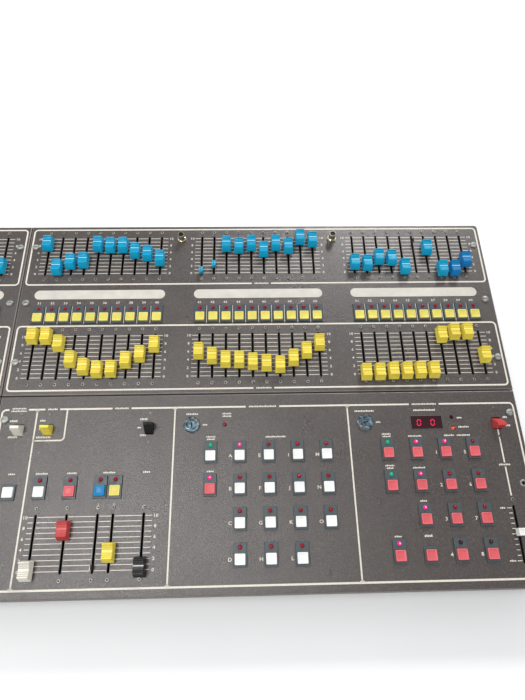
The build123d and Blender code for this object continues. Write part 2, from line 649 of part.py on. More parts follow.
with BuildPart() as plain_housing:
    with BuildSketch():
        Rectangle(SHORT_BEZEL[0], SHORT_BEZEL[1])
    extrude(amount=BEZEL_HEIGHT)
    chamfer(plain_housing.faces().sort_by(Axis.Z)[-1].edges(), 0.4)
    with BuildSketch():
        Rectangle(SHORT_CUTOUT[0] - 0.4, SHORT_CUTOUT[1] - 0.4)
    extrude(amount=-BODY_DEPTH)
    with BuildSketch(Plane.XY.offset(BEZEL_HEIGHT)):
        Rectangle(POCKET, POCKET)
    extrude(amount=-POCKET_DEPTH, mode=Mode.SUBTRACT)

with BuildPart(TOP) as button_housings:
    with Locations(*LAMP_BUTTONS):
        add(lamp_housing.part)
    with Locations(*PLAIN_BUTTONS):
        add(plain_housing.part)
save(button_housings.part, "button_housings")

CAP_FOOT = -2.6
with BuildPart() as button_cap:
    with BuildSketch(Plane.XY.offset(CAP_FOOT)):
        Rectangle(BUTTON_CAP, BUTTON_CAP)
    extrude(amount=BUTTON_TOP - CAP_FOOT)
    chamfer(button_cap.faces().sort_by(Axis.Z)[-1].edges(), 0.6)


def button_group(places, name, drop=CAP_DROP):
    """Square button caps standing in their housings."""
    with BuildPart(TOP) as group:
        with Locations(*[(x, y - drop) for x, y in places]):
            add(button_cap.part)
    save(group.part, name)


button_group(FLASH_PLACES[:30] + FLASH_PLACES[31:] + PLAYBACK_PLACES, "flash_buttons")
button_group(FLASH_PLACES[30:31], "channel_31_flash_button")
button_group(MEMORY_PLACES, "memory_buttons")
button_group(CHASE_PLACES, "chase_buttons")
button_group([HOLD_PLACE], "hold_button")
button_group([STEP_PLACE], "step_button", drop=0)
button_group([CLEAR_PLACE], "clear_button", drop=0)
button_group(MASTER_BUTTONS[0:1], "memory_master_button")
button_group(MASTER_BUTTONS[1:2], "chase_master_button")
button_group(MASTER_BUTTONS[2:3], "preset_one_button")
button_group(MASTER_BUTTONS[3:4], "preset_two_button")

LED_SHOULDER = BEZEL_HEIGHT + 0.4
with BuildPart() as lamp:
    with BuildSketch(Plane.XZ):
        with BuildLine():
            Polyline((0, LED_SHOULDER + LED_RADIUS), (0, -3), (LED_RADIUS, -3), (LED_RADIUS, LED_SHOULDER))
            CenterArc((0, LED_SHOULDER), LED_RADIUS, 0, 90)
        make_face()
    revolve(axis=Axis.Z)

with BuildPart() as arrow_lamp:
    with BuildSketch(Plane.XY.offset(-3)):
        RegularPolygon(2.4, 3, rotation=-90)
    extrude(amount=4.2)

with BuildPart(TOP) as leds:
    with Locations(*[(x, y + LED_RISE) for x, y in LAMP_BUTTONS]):
        add(lamp.part)
    with Locations(Location((ERROR_LAMP[0], ERROR_LAMP[1], -BEZEL_HEIGHT))):
        add(lamp.part)
    with Locations(Location((*UP_LAMP, 0), 180), Location((*DOWN_LAMP, 0))):
        add(arrow_lamp.part)
save(leds.part, "leds")

# ---------------------------------------------------------------- paddle switches
PADDLE_BASE = 1.0
PADDLE_TOP = 15.2
PADDLE_HALF_BASE = 6.3
PADDLE_HALF_TIP = 1.7
PIN_RADIUS = 1.0
with BuildPart() as paddle:
    with BuildSketch(Plane.YZ):
        with BuildLine():
            Polyline(
                (-PADDLE_HALF_BASE, PADDLE_BASE),
                (PADDLE_HALF_BASE, PADDLE_BASE),
                (PADDLE_HALF_TIP, PADDLE_TOP),
                (-PADDLE_HALF_TIP, PADDLE_TOP),
                close=True,
            )
        make_face()
        with Locations((0, PADDLE_PIVOT)):
            Circle(PADDLE_DRUM)
            Circle(PIN_RADIUS + 0.08, mode=Mode.SUBTRACT)
    extrude(amount=PADDLE_WIDTH / 2, both=True)
    fillet(paddle.faces().sort_by(Axis.Z)[-1].edges().filter_by(Axis.X), 0.4)

for paddle_name, (paddle_x, paddle_y, tilt) in PADDLES.items():
    pivot = TOP * Pos(paddle_x, paddle_y, PADDLE_PIVOT)
    leaning = pivot * Rot(tilt, 0, 0) * Pos(0, 0, -PADDLE_PIVOT) * paddle.part
    with BuildPart() as placed_paddle:
        add(leaning)
    save(placed_paddle.part, paddle_name)

SWITCH_BODY = (17.0, 24.0, 15.0)
with BuildPart() as switch_body:
    with BuildSketch(Plane.XY.offset(-SHEET)):
        Rectangle(SWITCH_BODY[0], SWITCH_BODY[1])
    extrude(amount=-SWITCH_BODY[2])
    with BuildSketch(Plane.XY.offset(-SHEET)):
        with Locations((0, PADDLE_SCREW_ROW - PADDLE_ROW)):
            Rectangle(10, PADDLE_SCREW_SPACING + 6)
            with GridLocations(0, PADDLE_SCREW_SPACING, 1, 2):
                Circle(PADDLE_SCREW_HOLE, mode=Mode.SUBTRACT)
    extrude(amount=-2)
    with BuildSketch(Plane.YZ):
        with Locations((0, PADDLE_PIVOT)):
            Circle(PADDLE_DRUM + 0.5)
    extrude(amount=PADDLE_WIDTH / 2 + 0.4, both=True, mode=Mode.SUBTRACT)
    with BuildSketch(Plane.YZ):
        with Locations((0, PADDLE_PIVOT)):
            Circle(PIN_RADIUS)
    extrude(amount=PADDLE_WIDTH / 2 + 0.4, both=True)

with BuildPart(TOP) as paddle_switch_bodies:
    with Locations(*PADDLE_PLACES):
        add(switch_body.part)
save(paddle_switch_bodies.part, "paddle_switch_bodies")

# ---------------------------------------------------------------- key switches
PLUG_RADIUS = 5.6
LOCK_FACE = 3.2
LOCK_DEPTH = 20.0
with BuildPart() as lock:
    with BuildSketch(Plane.XZ):
        with BuildLine():
            Polyline(
                (PLUG_RADIUS + 0.08, LOCK_FACE - 1.2),
                (PLUG_RADIUS + 0.08, 1 - LOCK_DEPTH),
                (0, 1 - LOCK_DEPTH),
                (0, -LOCK_DEPTH),
                (LOCK_BARREL, -LOCK_DEPTH),
                (LOCK_BARREL, 0),
                (10.6, 0),
                (10.6, LOCK_FACE - 1.2),
                (9.2, LOCK_FACE),
                (7.6, LOCK_FACE),
                close=True,
            )
        make_face()
    revolve(axis=Axis.Z)

with BuildPart() as key_plug:
    with BuildSketch(Plane.XY.offset(1.2 - LOCK_DEPTH)):
        Circle(PLUG_RADIUS)
    extrude(amount=LOCK_DEPTH - 1.2 + LOCK_FACE - 1.0)
    chamfer(key_plug.faces().sort_by(Axis.Z)[-1].edges(), 0.4)
    with BuildSketch(Plane.XY.offset(LOCK_FACE - 1.0)):
        Rectangle(1.8, 7.4)
    extrude(amount=-9, mode=Mode.SUBTRACT)

with BuildPart(TOP) as key_lock_bodies:
    with Locations(MEMORY_KEY, CHASE_KEY):
        add(lock.part)
save(key_lock_bodies.part, "key_lock_bodies")

CHASE_KEY_TURN = -80.0
KEYS = (
    ("memory_key_plug", MEMORY_KEY, 0.0),
    ("chase_key_plug", CHASE_KEY, CHASE_KEY_TURN),
)
for key_name, key_place, turn in KEYS:
    with BuildPart(TOP) as placed_plug:
        with Locations(Location((*key_place, 0), turn)):
            add(key_plug.part)
    save(placed_plug.part, key_name)

# ---------------------------------------------------------------- display, strips, lamp sockets
with BuildPart() as display_window:
    with BuildSketch(TOP.offset(-1.6)):
        with Locations(DISPLAY):
            RectangleRounded(DISPLAY_SIZE[0], DISPLAY_SIZE[1], 0.5)
    extrude(amount=2.2)
save(display_window.part, "display_window")

with BuildPart() as display_digits:
    with BuildSketch(TOP.offset(-2.4)):
        with Locations((DISPLAY[0] - 9.2, DISPLAY[1]), (DISPLAY[0] + 9.2, DISPLAY[1])):
            Rectangle(12.6, 15.0)
    extrude(amount=-7)
save(display_digits.part, "display_digits")

STRIP = (185.0, 14.4)
PLAYBACK_STRIP = (166.0, 14.4)
BANK_CENTRES = [
    module + FIRST_COLUMN + BANK_PITCH * bank + 4.5 * PITCH
    for module in MODULES
    for bank in range(3)
]
with BuildPart() as write_on_strips:
    with BuildSketch(TOP):
        with Locations(*[(x, STRIP_ROW) for x in BANK_CENTRES]):
            SlotOverall(STRIP[0], STRIP[1])
        with Locations(*[(x - PITCH / 2, PLAYBACK_STRIP_ROW) for x in BANK_CENTRES[:3]]):
            SlotOverall(PLAYBACK_STRIP[0], PLAYBACK_STRIP[1])
    extrude(amount=0.4)
save(write_on_strips.part, "write_on_strips")

SOCKET_RADIUS = 4.8
SOCKET_HEIGHT = 13.6
SOCKET_NUT = (6.6, 2.4)
with BuildPart() as socket:
    with BuildSketch(Plane.XZ):
        with BuildLine():
            Polyline(
                (0, SOCKET_HEIGHT - 3.0),
                (0, -14),
                (SOCKET_RADIUS, -14),
                (SOCKET_RADIUS, 0),
                (SOCKET_NUT[0], 0),
                (SOCKET_NUT[0], SOCKET_NUT[1]),
                (SOCKET_RADIUS, SOCKET_NUT[1]),
                (SOCKET_RADIUS, SOCKET_HEIGHT),
                (SOCKET_RADIUS - 0.9, SOCKET_HEIGHT),
                (SOCKET_RADIUS - 0.9, SOCKET_HEIGHT - 3.0),
                close=True,
            )
        make_face()
    revolve(axis=Axis.Z)
    with Locations((0, 0, SOCKET_HEIGHT - 3.0)):
        Hole(0.6, depth=3.0)
with BuildPart(TOP) as lamp_sockets:
    with Locations(*LAMP_SOCKETS):
        add(socket.part)
save(lamp_sockets.part, "lamp_sockets")

# ---------------------------------------------------------------- electronics
BOARD = 1.6
BOARD_DROP = 25.0
BOARD_WIDTH = 630.0
BOARD_ROWS = ((-137.0, 212.0), (-388.0, 200.0))
with BuildPart() as circuit_boards:
    for board_row, board_depth in BOARD_ROWS:
        board_places = [(module + MODULE_WIDTH / 2, board_row) for module in MODULES]
        with BuildSketch(TOP.offset(-BOARD_DROP)):
            with Locations(*board_places):
                Rectangle(BOARD_WIDTH, board_depth)
        extrude(amount=-BOARD)
        with BuildSketch(TOP.offset(-BOARD_DROP - BOARD)):
            with Locations(*board_places):
                with GridLocations(60, 60, 9, 3):
                    Rectangle(20, 7.6)
        extrude(amount=-3.5)
save(circuit_boards.part, "circuit_boards")

PROCESSOR_Z = 22.0
with BuildPart() as processor_board:
    with BuildSketch(Plane.XY.offset(PROCESSOR_Z)):
        with Locations((330, 90)):
            Rectangle(320, 180)
    extrude(amount=BOARD)
    with BuildSketch(Plane.XY.offset(PROCESSOR_Z + BOARD)):
        with Locations((330, 90)):
            with GridLocations(50, 34, 6, 4):
                Rectangle(38, 14)
    extrude(amount=4)
    with BuildSketch(Plane.XY.offset(PROCESSOR_Z)):
        with Locations((330, 90)):
            with GridLocations(300, 160, 2, 2):
                Circle(3.0)
    extrude(amount=BASE_Z + BASE_SHEET - PROCESSOR_Z)
save(processor_board.part, "processor_board")

SUPPLY = (-430.0, 120.0)
FLOOR = BASE_Z + BASE_SHEET
with BuildPart() as power_supply:
    with BuildSketch(Plane.XY.offset(FLOOR)):
        with Locations(SUPPLY):
            Rectangle(220, 130)
    extrude(amount=2)
    with BuildSketch(Plane.XY.offset(FLOOR + 2)):
        with Locations((SUPPLY[0] - 50, SUPPLY[1])):
            Circle(48)
            Circle(14, mode=Mode.SUBTRACT)
    extrude(amount=38)
    with BuildSketch(Plane.XY.offset(FLOOR + 2)):
        with Locations((SUPPLY[0] + 30, SUPPLY[1] + 30), (SUPPLY[0] + 30, SUPPLY[1] - 30)):
            Circle(16)
    extrude(amount=40)
    with BuildSketch(Plane.XY.offset(FLOOR + 2)):
        with Locations((SUPPLY[0] + 80, SUPPLY[1])):
            with GridLocations(8, 0, 5, 1):
                Rectangle(2, 100)
            Rectangle(36, 3)
    extrude(amount=34)
save(power_supply.part, "power_supply")
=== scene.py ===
import math

import bpy
from mathutils import Euler, Matrix, Vector


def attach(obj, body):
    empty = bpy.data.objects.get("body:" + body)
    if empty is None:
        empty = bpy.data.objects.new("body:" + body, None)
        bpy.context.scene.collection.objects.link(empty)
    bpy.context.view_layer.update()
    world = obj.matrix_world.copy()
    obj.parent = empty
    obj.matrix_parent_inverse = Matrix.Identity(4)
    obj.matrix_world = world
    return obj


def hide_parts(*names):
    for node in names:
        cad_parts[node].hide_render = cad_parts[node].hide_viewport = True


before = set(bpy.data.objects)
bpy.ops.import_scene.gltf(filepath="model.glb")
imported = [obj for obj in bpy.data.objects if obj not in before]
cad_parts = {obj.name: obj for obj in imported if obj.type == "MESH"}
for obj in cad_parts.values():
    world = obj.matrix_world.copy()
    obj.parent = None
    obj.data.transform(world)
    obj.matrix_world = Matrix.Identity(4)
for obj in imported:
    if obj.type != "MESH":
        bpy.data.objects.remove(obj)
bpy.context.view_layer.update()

# ---------------------------------------------------------------- the desk's measures, in mm
PITCH = 18.4
MODULE_WIDTH = 37 * PITCH
TOP_DEPTH = 510.0
FRONT_HEIGHT = 64.0
EDGE_RADIUS = 2.0
LIP = 10.0
FIRST_COLUMN = 30.5
BANK_PITCH = 226.2
TRAVEL = 60.0
LEVER_FOOT = -7.5               # this and the next heights are from the panel's surface
LEVER_TOP = 11.0
CAP_BASE = 3.0
BEZEL_HEIGHT = 2.0
BUTTON_TOP = 4.6
CAP_DROP = 4.5                  # a button's centre below the middle of its bezel
PLAIN_DROP = 4.6                # the same where the bezel has no lamp
LED_RISE = 8.9                  # a lamp's centre above the middle of its bezel
LED_RADIUS = 2.45
FADER_SCREW_REACH = 40.0
PADDLE_SCREW_REACH = 19.0
GRID_TOP = -345.3               # rows count down the slope from the rear edge
GRID_STEP = 40.4
PRESET_ONE_ROW = -52.4
FLASH_ROW = -149.7
PRESET_TWO_ROW = -212.5
KEY_ROW = -309.7
PADDLE_ROW = -313.3
PADDLE_SCREW_ROW = -311.4
BUTTON_ROW = -385.6
MASTER_ROW = -449.6
CHANNEL_ROW = -130.6
LAMP_SOCKET_ROW = -24.1
LAMP_SOCKET_COLUMNS = (226.4, 452.6)
MEMORY_KEY = (250.2, KEY_ROW)
CHASE_KEY = (475.5, KEY_ROW)
CHASE_KEY_TURN = -80.0
ERROR_LAMP = (292.9, KEY_ROW)
UP_LAMP = (590.1, -304.2)
DOWN_LAMP = (590.1, -318.8)
DISPLAY = (556.0, -311.0)
EMPTY_SCREW_HOLE = (667.4, -390.1)
LEFT = -MODULE_WIDTH
RIGHT = 0.0

SLOPE = math.radians(8)
C = math.cos(SLOPE)
S = math.sin(SLOPE)
Y_REAR = (TOP_DEPTH * C - EDGE_RADIUS * (C + S - 1) - LIP * S) / 2
Z_REAR = FRONT_HEIGHT + TOP_DEPTH * S
MM = 0.001
# from the top's own plane (x across from the seam, y up the slope, z out of it) to the frame, in metres
TOP = Matrix((
    (MM, 0, 0, 0),
    (0, MM * C, -MM * S, MM * Y_REAR),
    (0, MM * S, MM * C, MM * Z_REAR),
    (0, 0, 0, 1),
))

# every channel's setting from 0 to 10, on the first and on the second preset
ONE_LEVELS = [1.7] * 30 + [
    7.9, 1.1, 2.7, 3.0, 7.6, 7.3, 7.3, 5.7, 4.9, 3.5,
    0.2, 1.9, 7.5, 7.0, 7.7, 5.9, 7.7, 6.8, 9.4, 8.7,
    2.1, 1.8, 3.5, 3.2, 0.7, 8.5, 6.2, 0.1, 0.1, 2.7,
]
TWO_LEVELS = [0.0] * 30 + [
    9.7, 9.6, 7.8, 3.9, 2.1, 1.4, 1.5, 3.6, 5.0, 7.4,
    5.6, 4.4, 3.5, 3.4, 2.9, 2.5, 2.1, 3.7, 5.5, 7.4,
    0.1, 0.1, 0.3, 0.3, 0.4, 0.4, 9.0, 9.7, 9.8, 3.9,
]
LOW_LIMIT = 4.0                 # a fader set lower than this belongs to the low group


def column(channel):
    index = (channel - 1) % 30
    module = (LEFT, RIGHT)[(channel - 1) // 30]
    return module + FIRST_COLUMN + BANK_PITCH * (index // 10) + PITCH * (index % 10)


def level_y(row, level):
    return row + (level / 10 - 0.5) * TRAVEL


def set_to(x, row, level):
    return (x, level_y(row, level))


# ---------------------------------------------------------------- materials
def node(tree, kind, **values):
    made = tree.nodes.new(kind)
    for key, value in values.items():
        setattr(made, key, value)
    return made


def noise(tree, scale, detail=3.0, roughness=0.55, stretch=None):
    """A noise in the frame's own coordinates; scale counts cells per metre."""
    coords = node(tree, "ShaderNodeTexCoord")
    made = node(tree, "ShaderNodeTexNoise")
    made.inputs["Scale"].default_value = scale
    made.inputs["Detail"].default_value = detail
    made.inputs["Roughness"].default_value = roughness
    source = coords.outputs["Object"]
    if stretch:
        mapping = node(tree, "ShaderNodeMapping")
        mapping.inputs["Scale"].default_value = stretch
        tree.links.new(source, mapping.inputs["Vector"])
        source = mapping.outputs["Vector"]
    tree.links.new(source, made.inputs["Vector"])
    return made.outputs["Fac"]


def ramp(tree, source, *stops):
    """Colours or greys along a 0 to 1 value."""
    made = node(tree, "ShaderNodeValToRGB")
    elements = made.color_ramp.elements
    while len(elements) < len(stops):
        elements.new(0.5)
    for element, (position, colour) in zip(elements, stops):
        element.position = position
        if not isinstance(colour, tuple):
            colour = (colour, colour, colour)
        element.color = (*colour, 1)
    tree.links.new(source, made.inputs["Fac"])
    return made.outputs["Color"]


def mixed(tree, factor, first, second):
    """A blend of two colours; each of the three values may be a socket or a constant."""
    made = node(tree, "ShaderNodeMix", data_type="RGBA")
    sockets = (made.inputs[0], made.inputs[6], made.inputs[7])
    for socket, value in zip(sockets, (factor, first, second)):
        if hasattr(value, "is_linked"):
            tree.links.new(value, socket)
        elif isinstance(value, tuple):
            socket.default_value = (*value, 1)
        else:
            socket.default_value = value
    return made.outputs[2]


def shader(name):
    made = bpy.data.materials.new(name)
    made.use_nodes = True
    tree = made.node_tree
    return made, tree, tree.nodes["Principled BSDF"]


def bumped(tree, surface, source, strength, distance):
    bump = node(tree, "ShaderNodeBump")
    bump.inputs["Strength"].default_value = strength
    bump.inputs["Distance"].default_value = distance
    tree.links.new(source, bump.inputs["Height"])
    tree.links.new(bump.outputs["Normal"], surface.inputs["Normal"])


def facing_out(tree):
    """1 on faces that look straight out of the desk's top, 0 on its folded sides."""
    facing = node(tree, "ShaderNodeVectorMath", operation="DOT_PRODUCT")
    tree.links.new(node(tree, "ShaderNodeNewGeometry").outputs["Normal"], facing.inputs[0])
    facing.inputs[1].default_value = (0, -S, C)
    return facing.outputs["Value"]


def dimmed(colour, amount):
    return tuple(channel * amount for channel in colour)


def plastic(name, colour, rough=0.38, grime=0.72, glow=None, strength=0.0, grain=0.12):
    """Moulded plastic: mottled colour, dirt from fingers, fine moulding grain."""
    made, tree, surface = shader(name)
    mottle = ramp(tree, noise(tree, 55, 4), (0.3, dimmed(colour, 0.84)), (0.7, colour))
    dirt = ramp(tree, noise(tree, 420, 5, 0.7), (0.5, 0.0), (0.82, 1.0))
    stained = mixed(tree, 0.0, mottle, dimmed(colour, grime))
    tree.links.new(dirt, stained.node.inputs[0])
    tree.links.new(stained, surface.inputs["Base Color"])
    tree.links.new(ramp(tree, noise(tree, 160, 4), (0.3, rough * 0.75), (0.75, min(1.0, rough * 1.45))),
                   surface.inputs["Roughness"])
    surface.inputs["Specular IOR Level"].default_value = 0.32
    bumped(tree, surface, noise(tree, 2600, 2), grain, 0.0002)
    if glow:
        surface.inputs["Emission Color"].default_value = (*glow, 1)
        surface.inputs["Emission Strength"].default_value = strength
    return made


def textured_paint(name, dark, light, chips_and_fold_highlight, rough=0.5, fold_highlight_amount=0.0):
    """Baked-on textured paint: grains of many tones, worn specks, smears of dust, folds painted bright as a
    highlight.
    """
    made, tree, surface = shader(name)
    coords = node(tree, "ShaderNodeTexCoord")
    cells = node(tree, "ShaderNodeTexVoronoi")
    cells.inputs["Scale"].default_value = 820
    tree.links.new(coords.outputs["Object"], cells.inputs["Vector"])
    split = node(tree, "ShaderNodeSeparateColor")
    tree.links.new(cells.outputs["Color"], split.inputs[0])
    grains = ramp(tree, split.outputs[0], (0.0, dark), (0.5, dimmed(light, 0.5)), (0.9, dimmed(light, 0.85)),
                  (1.0, dimmed(light, 1.4)))
    fine = noise(tree, 1500, 4, 0.65)
    mottle = ramp(tree, fine, (0.3, dark), (0.5, dimmed(light, 0.6)), (0.7, dimmed(light, 1.1)))
    base = mixed(tree, 0.5, grains, mottle)
    smear = ramp(tree, noise(tree, 7, 5, 0.6, (1.0, 0.55, 1.0)), (0.45, 0.0), (0.85, 0.22))
    dusty = mixed(tree, smear, base, dimmed(light, 0.95))
    speck = ramp(tree, noise(tree, 260, 3, 0.5), (0.79, 0.0), (0.82, 0.9))
    finish = mixed(tree, speck, dusty, chips_and_fold_highlight)
    # folded edges, found by their facing, are mixed towards the light chip colour as a painted highlight
    if fold_highlight_amount:
        fold_highlight_mask = ramp(tree, facing_out(tree), (0.35, 0.0), (0.6, fold_highlight_amount), (0.95, fold_highlight_amount), (0.99, 0.0))
        finish = mixed(tree, fold_highlight_mask, finish, chips_and_fold_highlight)
    tree.links.new(finish, surface.inputs["Base Color"])
    tree.links.new(ramp(tree, noise(tree, 18, 5), (0.3, rough * 0.86), (0.7, rough * 1.2)),
                   surface.inputs["Roughness"])
    surface.inputs["Specular IOR Level"].default_value = 0.8
    bumped(tree, surface, mixed(tree, 0.5, cells.outputs["Distance"], fine), 0.7, 0.0006)
    return made


def metal(name, colour, rough=0.25, tint=None, brushed=None, tarnish=0.55):
    made, tree, surface = shader(name)
    patina = ramp(tree, noise(tree, 240, 5, 0.65), (0.35, dimmed(tint or colour, tarnish)), (0.6, colour))
    tree.links.new(patina, surface.inputs["Base Color"])
    surface.inputs["Metallic"].default_value = 1.0
    streaks = noise(tree, 1400 if brushed is None else 400, 4, 0.6, brushed)
    tree.links.new(ramp(tree, streaks, (0.3, rough * 0.7), (0.7, rough * 1.5)), surface.inputs["Roughness"])
    bumped(tree, surface, streaks, 0.12, 0.0001)
    return made


def lock_metal(name, bright, dark, glint):
    """Chrome with bright and dark patches painted as reflections, and brass-coloured painted glints in a few.
    """
    made, tree, surface = shader(name)
    # the bright and dark patches are painted reflections, the brass-coloured spots painted glints
    reflection_patches = ramp(tree, noise(tree, 300, 4, 0.6), (0.36, dark), (0.5, dimmed(bright, 0.7)), (0.62, bright))
    wear_and_glints = ramp(tree, noise(tree, 210, 2, 0.5), (0.66, 0.0), (0.7, 1.0))
    tree.links.new(mixed(tree, wear_and_glints, reflection_patches, glint), surface.inputs["Base Color"])
    surface.inputs["Metallic"].default_value = 1.0
    tree.links.new(ramp(tree, noise(tree, 500, 3), (0.3, 0.16), (0.7, 0.34)), surface.inputs["Roughness"])
    bumped(tree, surface, noise(tree, 700, 3), 0.15, 0.0001)
    return made


def print_ink(name, colour, under):
    """Screen-printed ink, thin in places and chipped in a few."""
    made, tree, surface = shader(name)
    thin = ramp(tree, noise(tree, 900, 5, 0.7), (0.34, dimmed(colour, 0.66)), (0.56, colour))
    chip = ramp(tree, noise(tree, 330, 4, 0.6), (0.7, 0.0), (0.74, 1.0))
    tree.links.new(mixed(tree, chip, thin, under), surface.inputs["Base Color"])
    tree.links.new(ramp(tree, noise(tree, 90, 3), (0.3, 0.4), (0.7, 0.62)), surface.inputs["Roughness"])
    bumped(tree, surface, noise(tree, 1500, 3), 0.2, 0.0002)
    return made


PANEL_DARK = (0.022, 0.017, 0.015)
PANEL_LIGHT = (0.090, 0.072, 0.065)
CASE_DARK = (0.014, 0.011, 0.010)
CASE_LIGHT = (0.065, 0.053, 0.05)
CREAM = (0.74, 0.69, 0.60)
BLUE = (0.0, 0.39, 0.66)
YELLOW = (0.88, 0.72, 0.09)
IVORY = (0.84, 0.80, 0.70)
RED = (0.56, 0.055, 0.055)
MATERIALS = {
    "panel": textured_paint("panel_paint_textured", PANEL_DARK, PANEL_LIGHT, (0.42, 0.37, 0.34), 0.31, 0.3),
    "case": textured_paint("case_paint_textured", CASE_DARK, CASE_LIGHT, (0.25, 0.22, 0.2)),
    "ink": print_ink("cream_ink", CREAM, (0.10, 0.083, 0.078)),
    "blue": plastic("cap_blue_plastic", BLUE),
    # each groove material is a darker copy of its cap colour: painted shade in the caps' grooves
    "blue_groove_shade": plastic("cap_blue_groove_shade", dimmed(BLUE, 0.45)),
    "deep_blue": plastic("cap_deep_blue_plastic", (0.0, 0.20, 0.52)),
    "yellow": plastic("cap_yellow_plastic", YELLOW),
    "yellow_groove_shade": plastic("cap_yellow_groove_shade", (0.66, 0.48, 0.015)),
    "cream": plastic("cap_cream_plastic", IVORY),
    "cream_groove_shade": plastic("cap_cream_groove_shade", (0.50, 0.455, 0.37)),
    "red": plastic("cap_red_plastic", RED),
    "red_groove_shade": plastic("cap_red_groove_shade", dimmed(RED, 0.85)),
    # a lighter red on the red cap's middle bar, painted as a highlight line
    "red_highlight_line": plastic("cap_red_painted_highlight_line", (0.72, 0.16, 0.15)),
    "black": plastic("cap_black_plastic", (0.018, 0.017, 0.017), 0.3, 0.5),
    "black_groove_shade": plastic("cap_black_groove_shade", (0.004, 0.004, 0.004), 0.4, 0.5),
    "white": plastic("cap_white_plastic", (0.84, 0.83, 0.79)),
    "line": plastic("pointer_line_pale", (0.72, 0.74, 0.70), 0.45),
    "blue_line": plastic("pointer_line_on_blue", (0.42, 0.66, 0.70), 0.45),
    "bright_yellow": plastic("yellow_pointer_line", (0.95, 0.84, 0.30), 0.45),
    "key_yellow": plastic("button_yellow_plastic", (0.70, 0.61, 0.11), 0.42),
    # each rim material is a lighter copy of its button colour, painted as a highlight on the raised rim
    "key_rim_highlight": plastic("button_yellow_rim_highlight", (0.80, 0.72, 0.26), 0.4),
    "key_red": plastic("button_red_plastic", (0.66, 0.11, 0.125), 0.38),
    "key_red_rim_highlight": plastic("button_red_rim_highlight", (0.72, 0.155, 0.165), 0.36),
    "key_white": plastic("button_white_plastic", (0.84, 0.84, 0.81), 0.4),
    "key_white_rim_highlight": plastic("button_white_rim_highlight", (0.88, 0.88, 0.86), 0.4),
    "key_blue": plastic("button_blue_plastic", (0.0, 0.19, 0.44), 0.36),
    "key_blue_rim_highlight": plastic("button_blue_rim_highlight", (0.0, 0.23, 0.48), 0.36),
    "strip": plastic("write_on_film", (0.61, 0.575, 0.515), 0.5, 0.86),
    # the unlit lens has a faint painted glow, though its lamp is off
    "led_dark": plastic("led_red_unlit", (0.27, 0.004, 0.012), 0.09, 0.7, (0.9, 0.0, 0.04), 0.05, 0.02),
    "led_dead": plastic("led_clouded", (0.05, 0.010, 0.012), 0.14, 0.8, None, 0.0, 0.02),
    "led_lit": plastic("led_red_lit", (0.75, 0.01, 0.14), 0.1, 0.9, (1.0, 0.002, 0.18), 0.72, 0.02),
    "led_core": plastic("led_red_core", (0.9, 0.3, 0.5), 0.1, 0.9, (1.0, 0.30, 0.55), 0.9, 0.02),
    "led_green": plastic("led_green_lit", (0.0, 0.33, 0.16), 0.1, 0.8, (0.0, 0.75, 0.38), 0.22, 0.02),
    "led_ring": plastic("led_ring_grey", (0.10, 0.115, 0.12), 0.4),
    "coral": plastic("arrow_coral_lit", (0.85, 0.10, 0.09), 0.3, 0.9, (1.0, 0.07, 0.07), 0.7, 0.02),
    "digit": plastic("digit_segments_lit", (0.6, 0.01, 0.06), 0.4, 0.9, (0.9, 0.004, 0.075), 0.7, 0.02),
    "window": plastic("smoked_window", (0.030, 0.007, 0.009), 0.16, 0.7, None, 0.0, 0.02),
    "dark_plastic": plastic("switch_black_plastic", (0.016, 0.016, 0.017), 0.4, 0.6),
    "slot": plastic("slot_black_steel", (0.010, 0.008, 0.006), 0.55, 0.5),
    "zinc": metal("zinc_plated_screw", (0.48, 0.50, 0.48), 0.58, (0.38, 0.38, 0.34)),
    "screw_rim": metal("control_screw_steel", (0.50, 0.49, 0.44), 0.5, (0.34, 0.33, 0.28)),
    # near-black painted shade, used in the screw recesses and the keyholes
    "recess": plastic("screw_recess_painted_shade", (0.012, 0.011, 0.010), 0.6, 0.5),
    "steel": metal("plated_steel", (0.42, 0.42, 0.41), 0.34, None, (1.0, 8.0, 1.0)),
    "blade": metal("lever_blade", (0.20, 0.19, 0.18), 0.35),
    "chrome": lock_metal("lock_chrome", (0.27, 0.38, 0.45), (0.03, 0.042, 0.055), (0.75, 0.45, 0.10)),
    "key_metal": lock_metal("key_plug_nickel", (0.30, 0.41, 0.48), (0.06, 0.085, 0.11), (0.6, 0.45, 0.2)),
    "socket": metal("socket_nickel", (0.72, 0.67, 0.55), 0.2, (0.5, 0.42, 0.28), None, 0.7),
    "board": plastic("circuit_board", (0.01, 0.13, 0.05), 0.35, 0.6),
    "black_rubber": plastic("black_rubber", (0.022, 0.021, 0.02), 0.8, 0.7),
}


def bezel_material():
    """Blue-grey bezels, darker in the flash rows than on the front panel, with lighter worn rims and sides
    painted dark as shade.
    """
    made, tree, surface = shader("bezel_slate_plastic")
    position = node(tree, "ShaderNodeTexCoord")
    split = node(tree, "ShaderNodeSeparateXYZ")
    tree.links.new(position.outputs["Object"], split.inputs[0])
    front = node(tree, "ShaderNodeMath", operation="LESS_THAN")
    tree.links.new(split.outputs["Y"], front.inputs[0])
    front.inputs[1].default_value = 0.0
    tone = mixed(tree, front.outputs[0], (0.040, 0.056, 0.067), (0.052, 0.068, 0.075))
    worn = ramp(tree, noise(tree, 520, 5, 0.7), (0.5, 0.0), (0.9, 0.5))
    # faces that turn away from the panel's face get a near-black painted shade
    shaded_sides = ramp(tree, facing_out(tree), (0.3, 1.0), (0.6, 0.0))
    wear_and_glints = mixed(tree, worn, tone, (0.15, 0.18, 0.20))
    tree.links.new(mixed(tree, shaded_sides, wear_and_glints, (0.010, 0.012, 0.014)), surface.inputs["Base Color"])
    tree.links.new(ramp(tree, noise(tree, 130, 4), (0.3, 0.34), (0.7, 0.6)), surface.inputs["Roughness"])
    bumped(tree, surface, noise(tree, 2200, 3), 0.2, 0.0002)
    return made


MATERIALS["bezel"] = bezel_material()


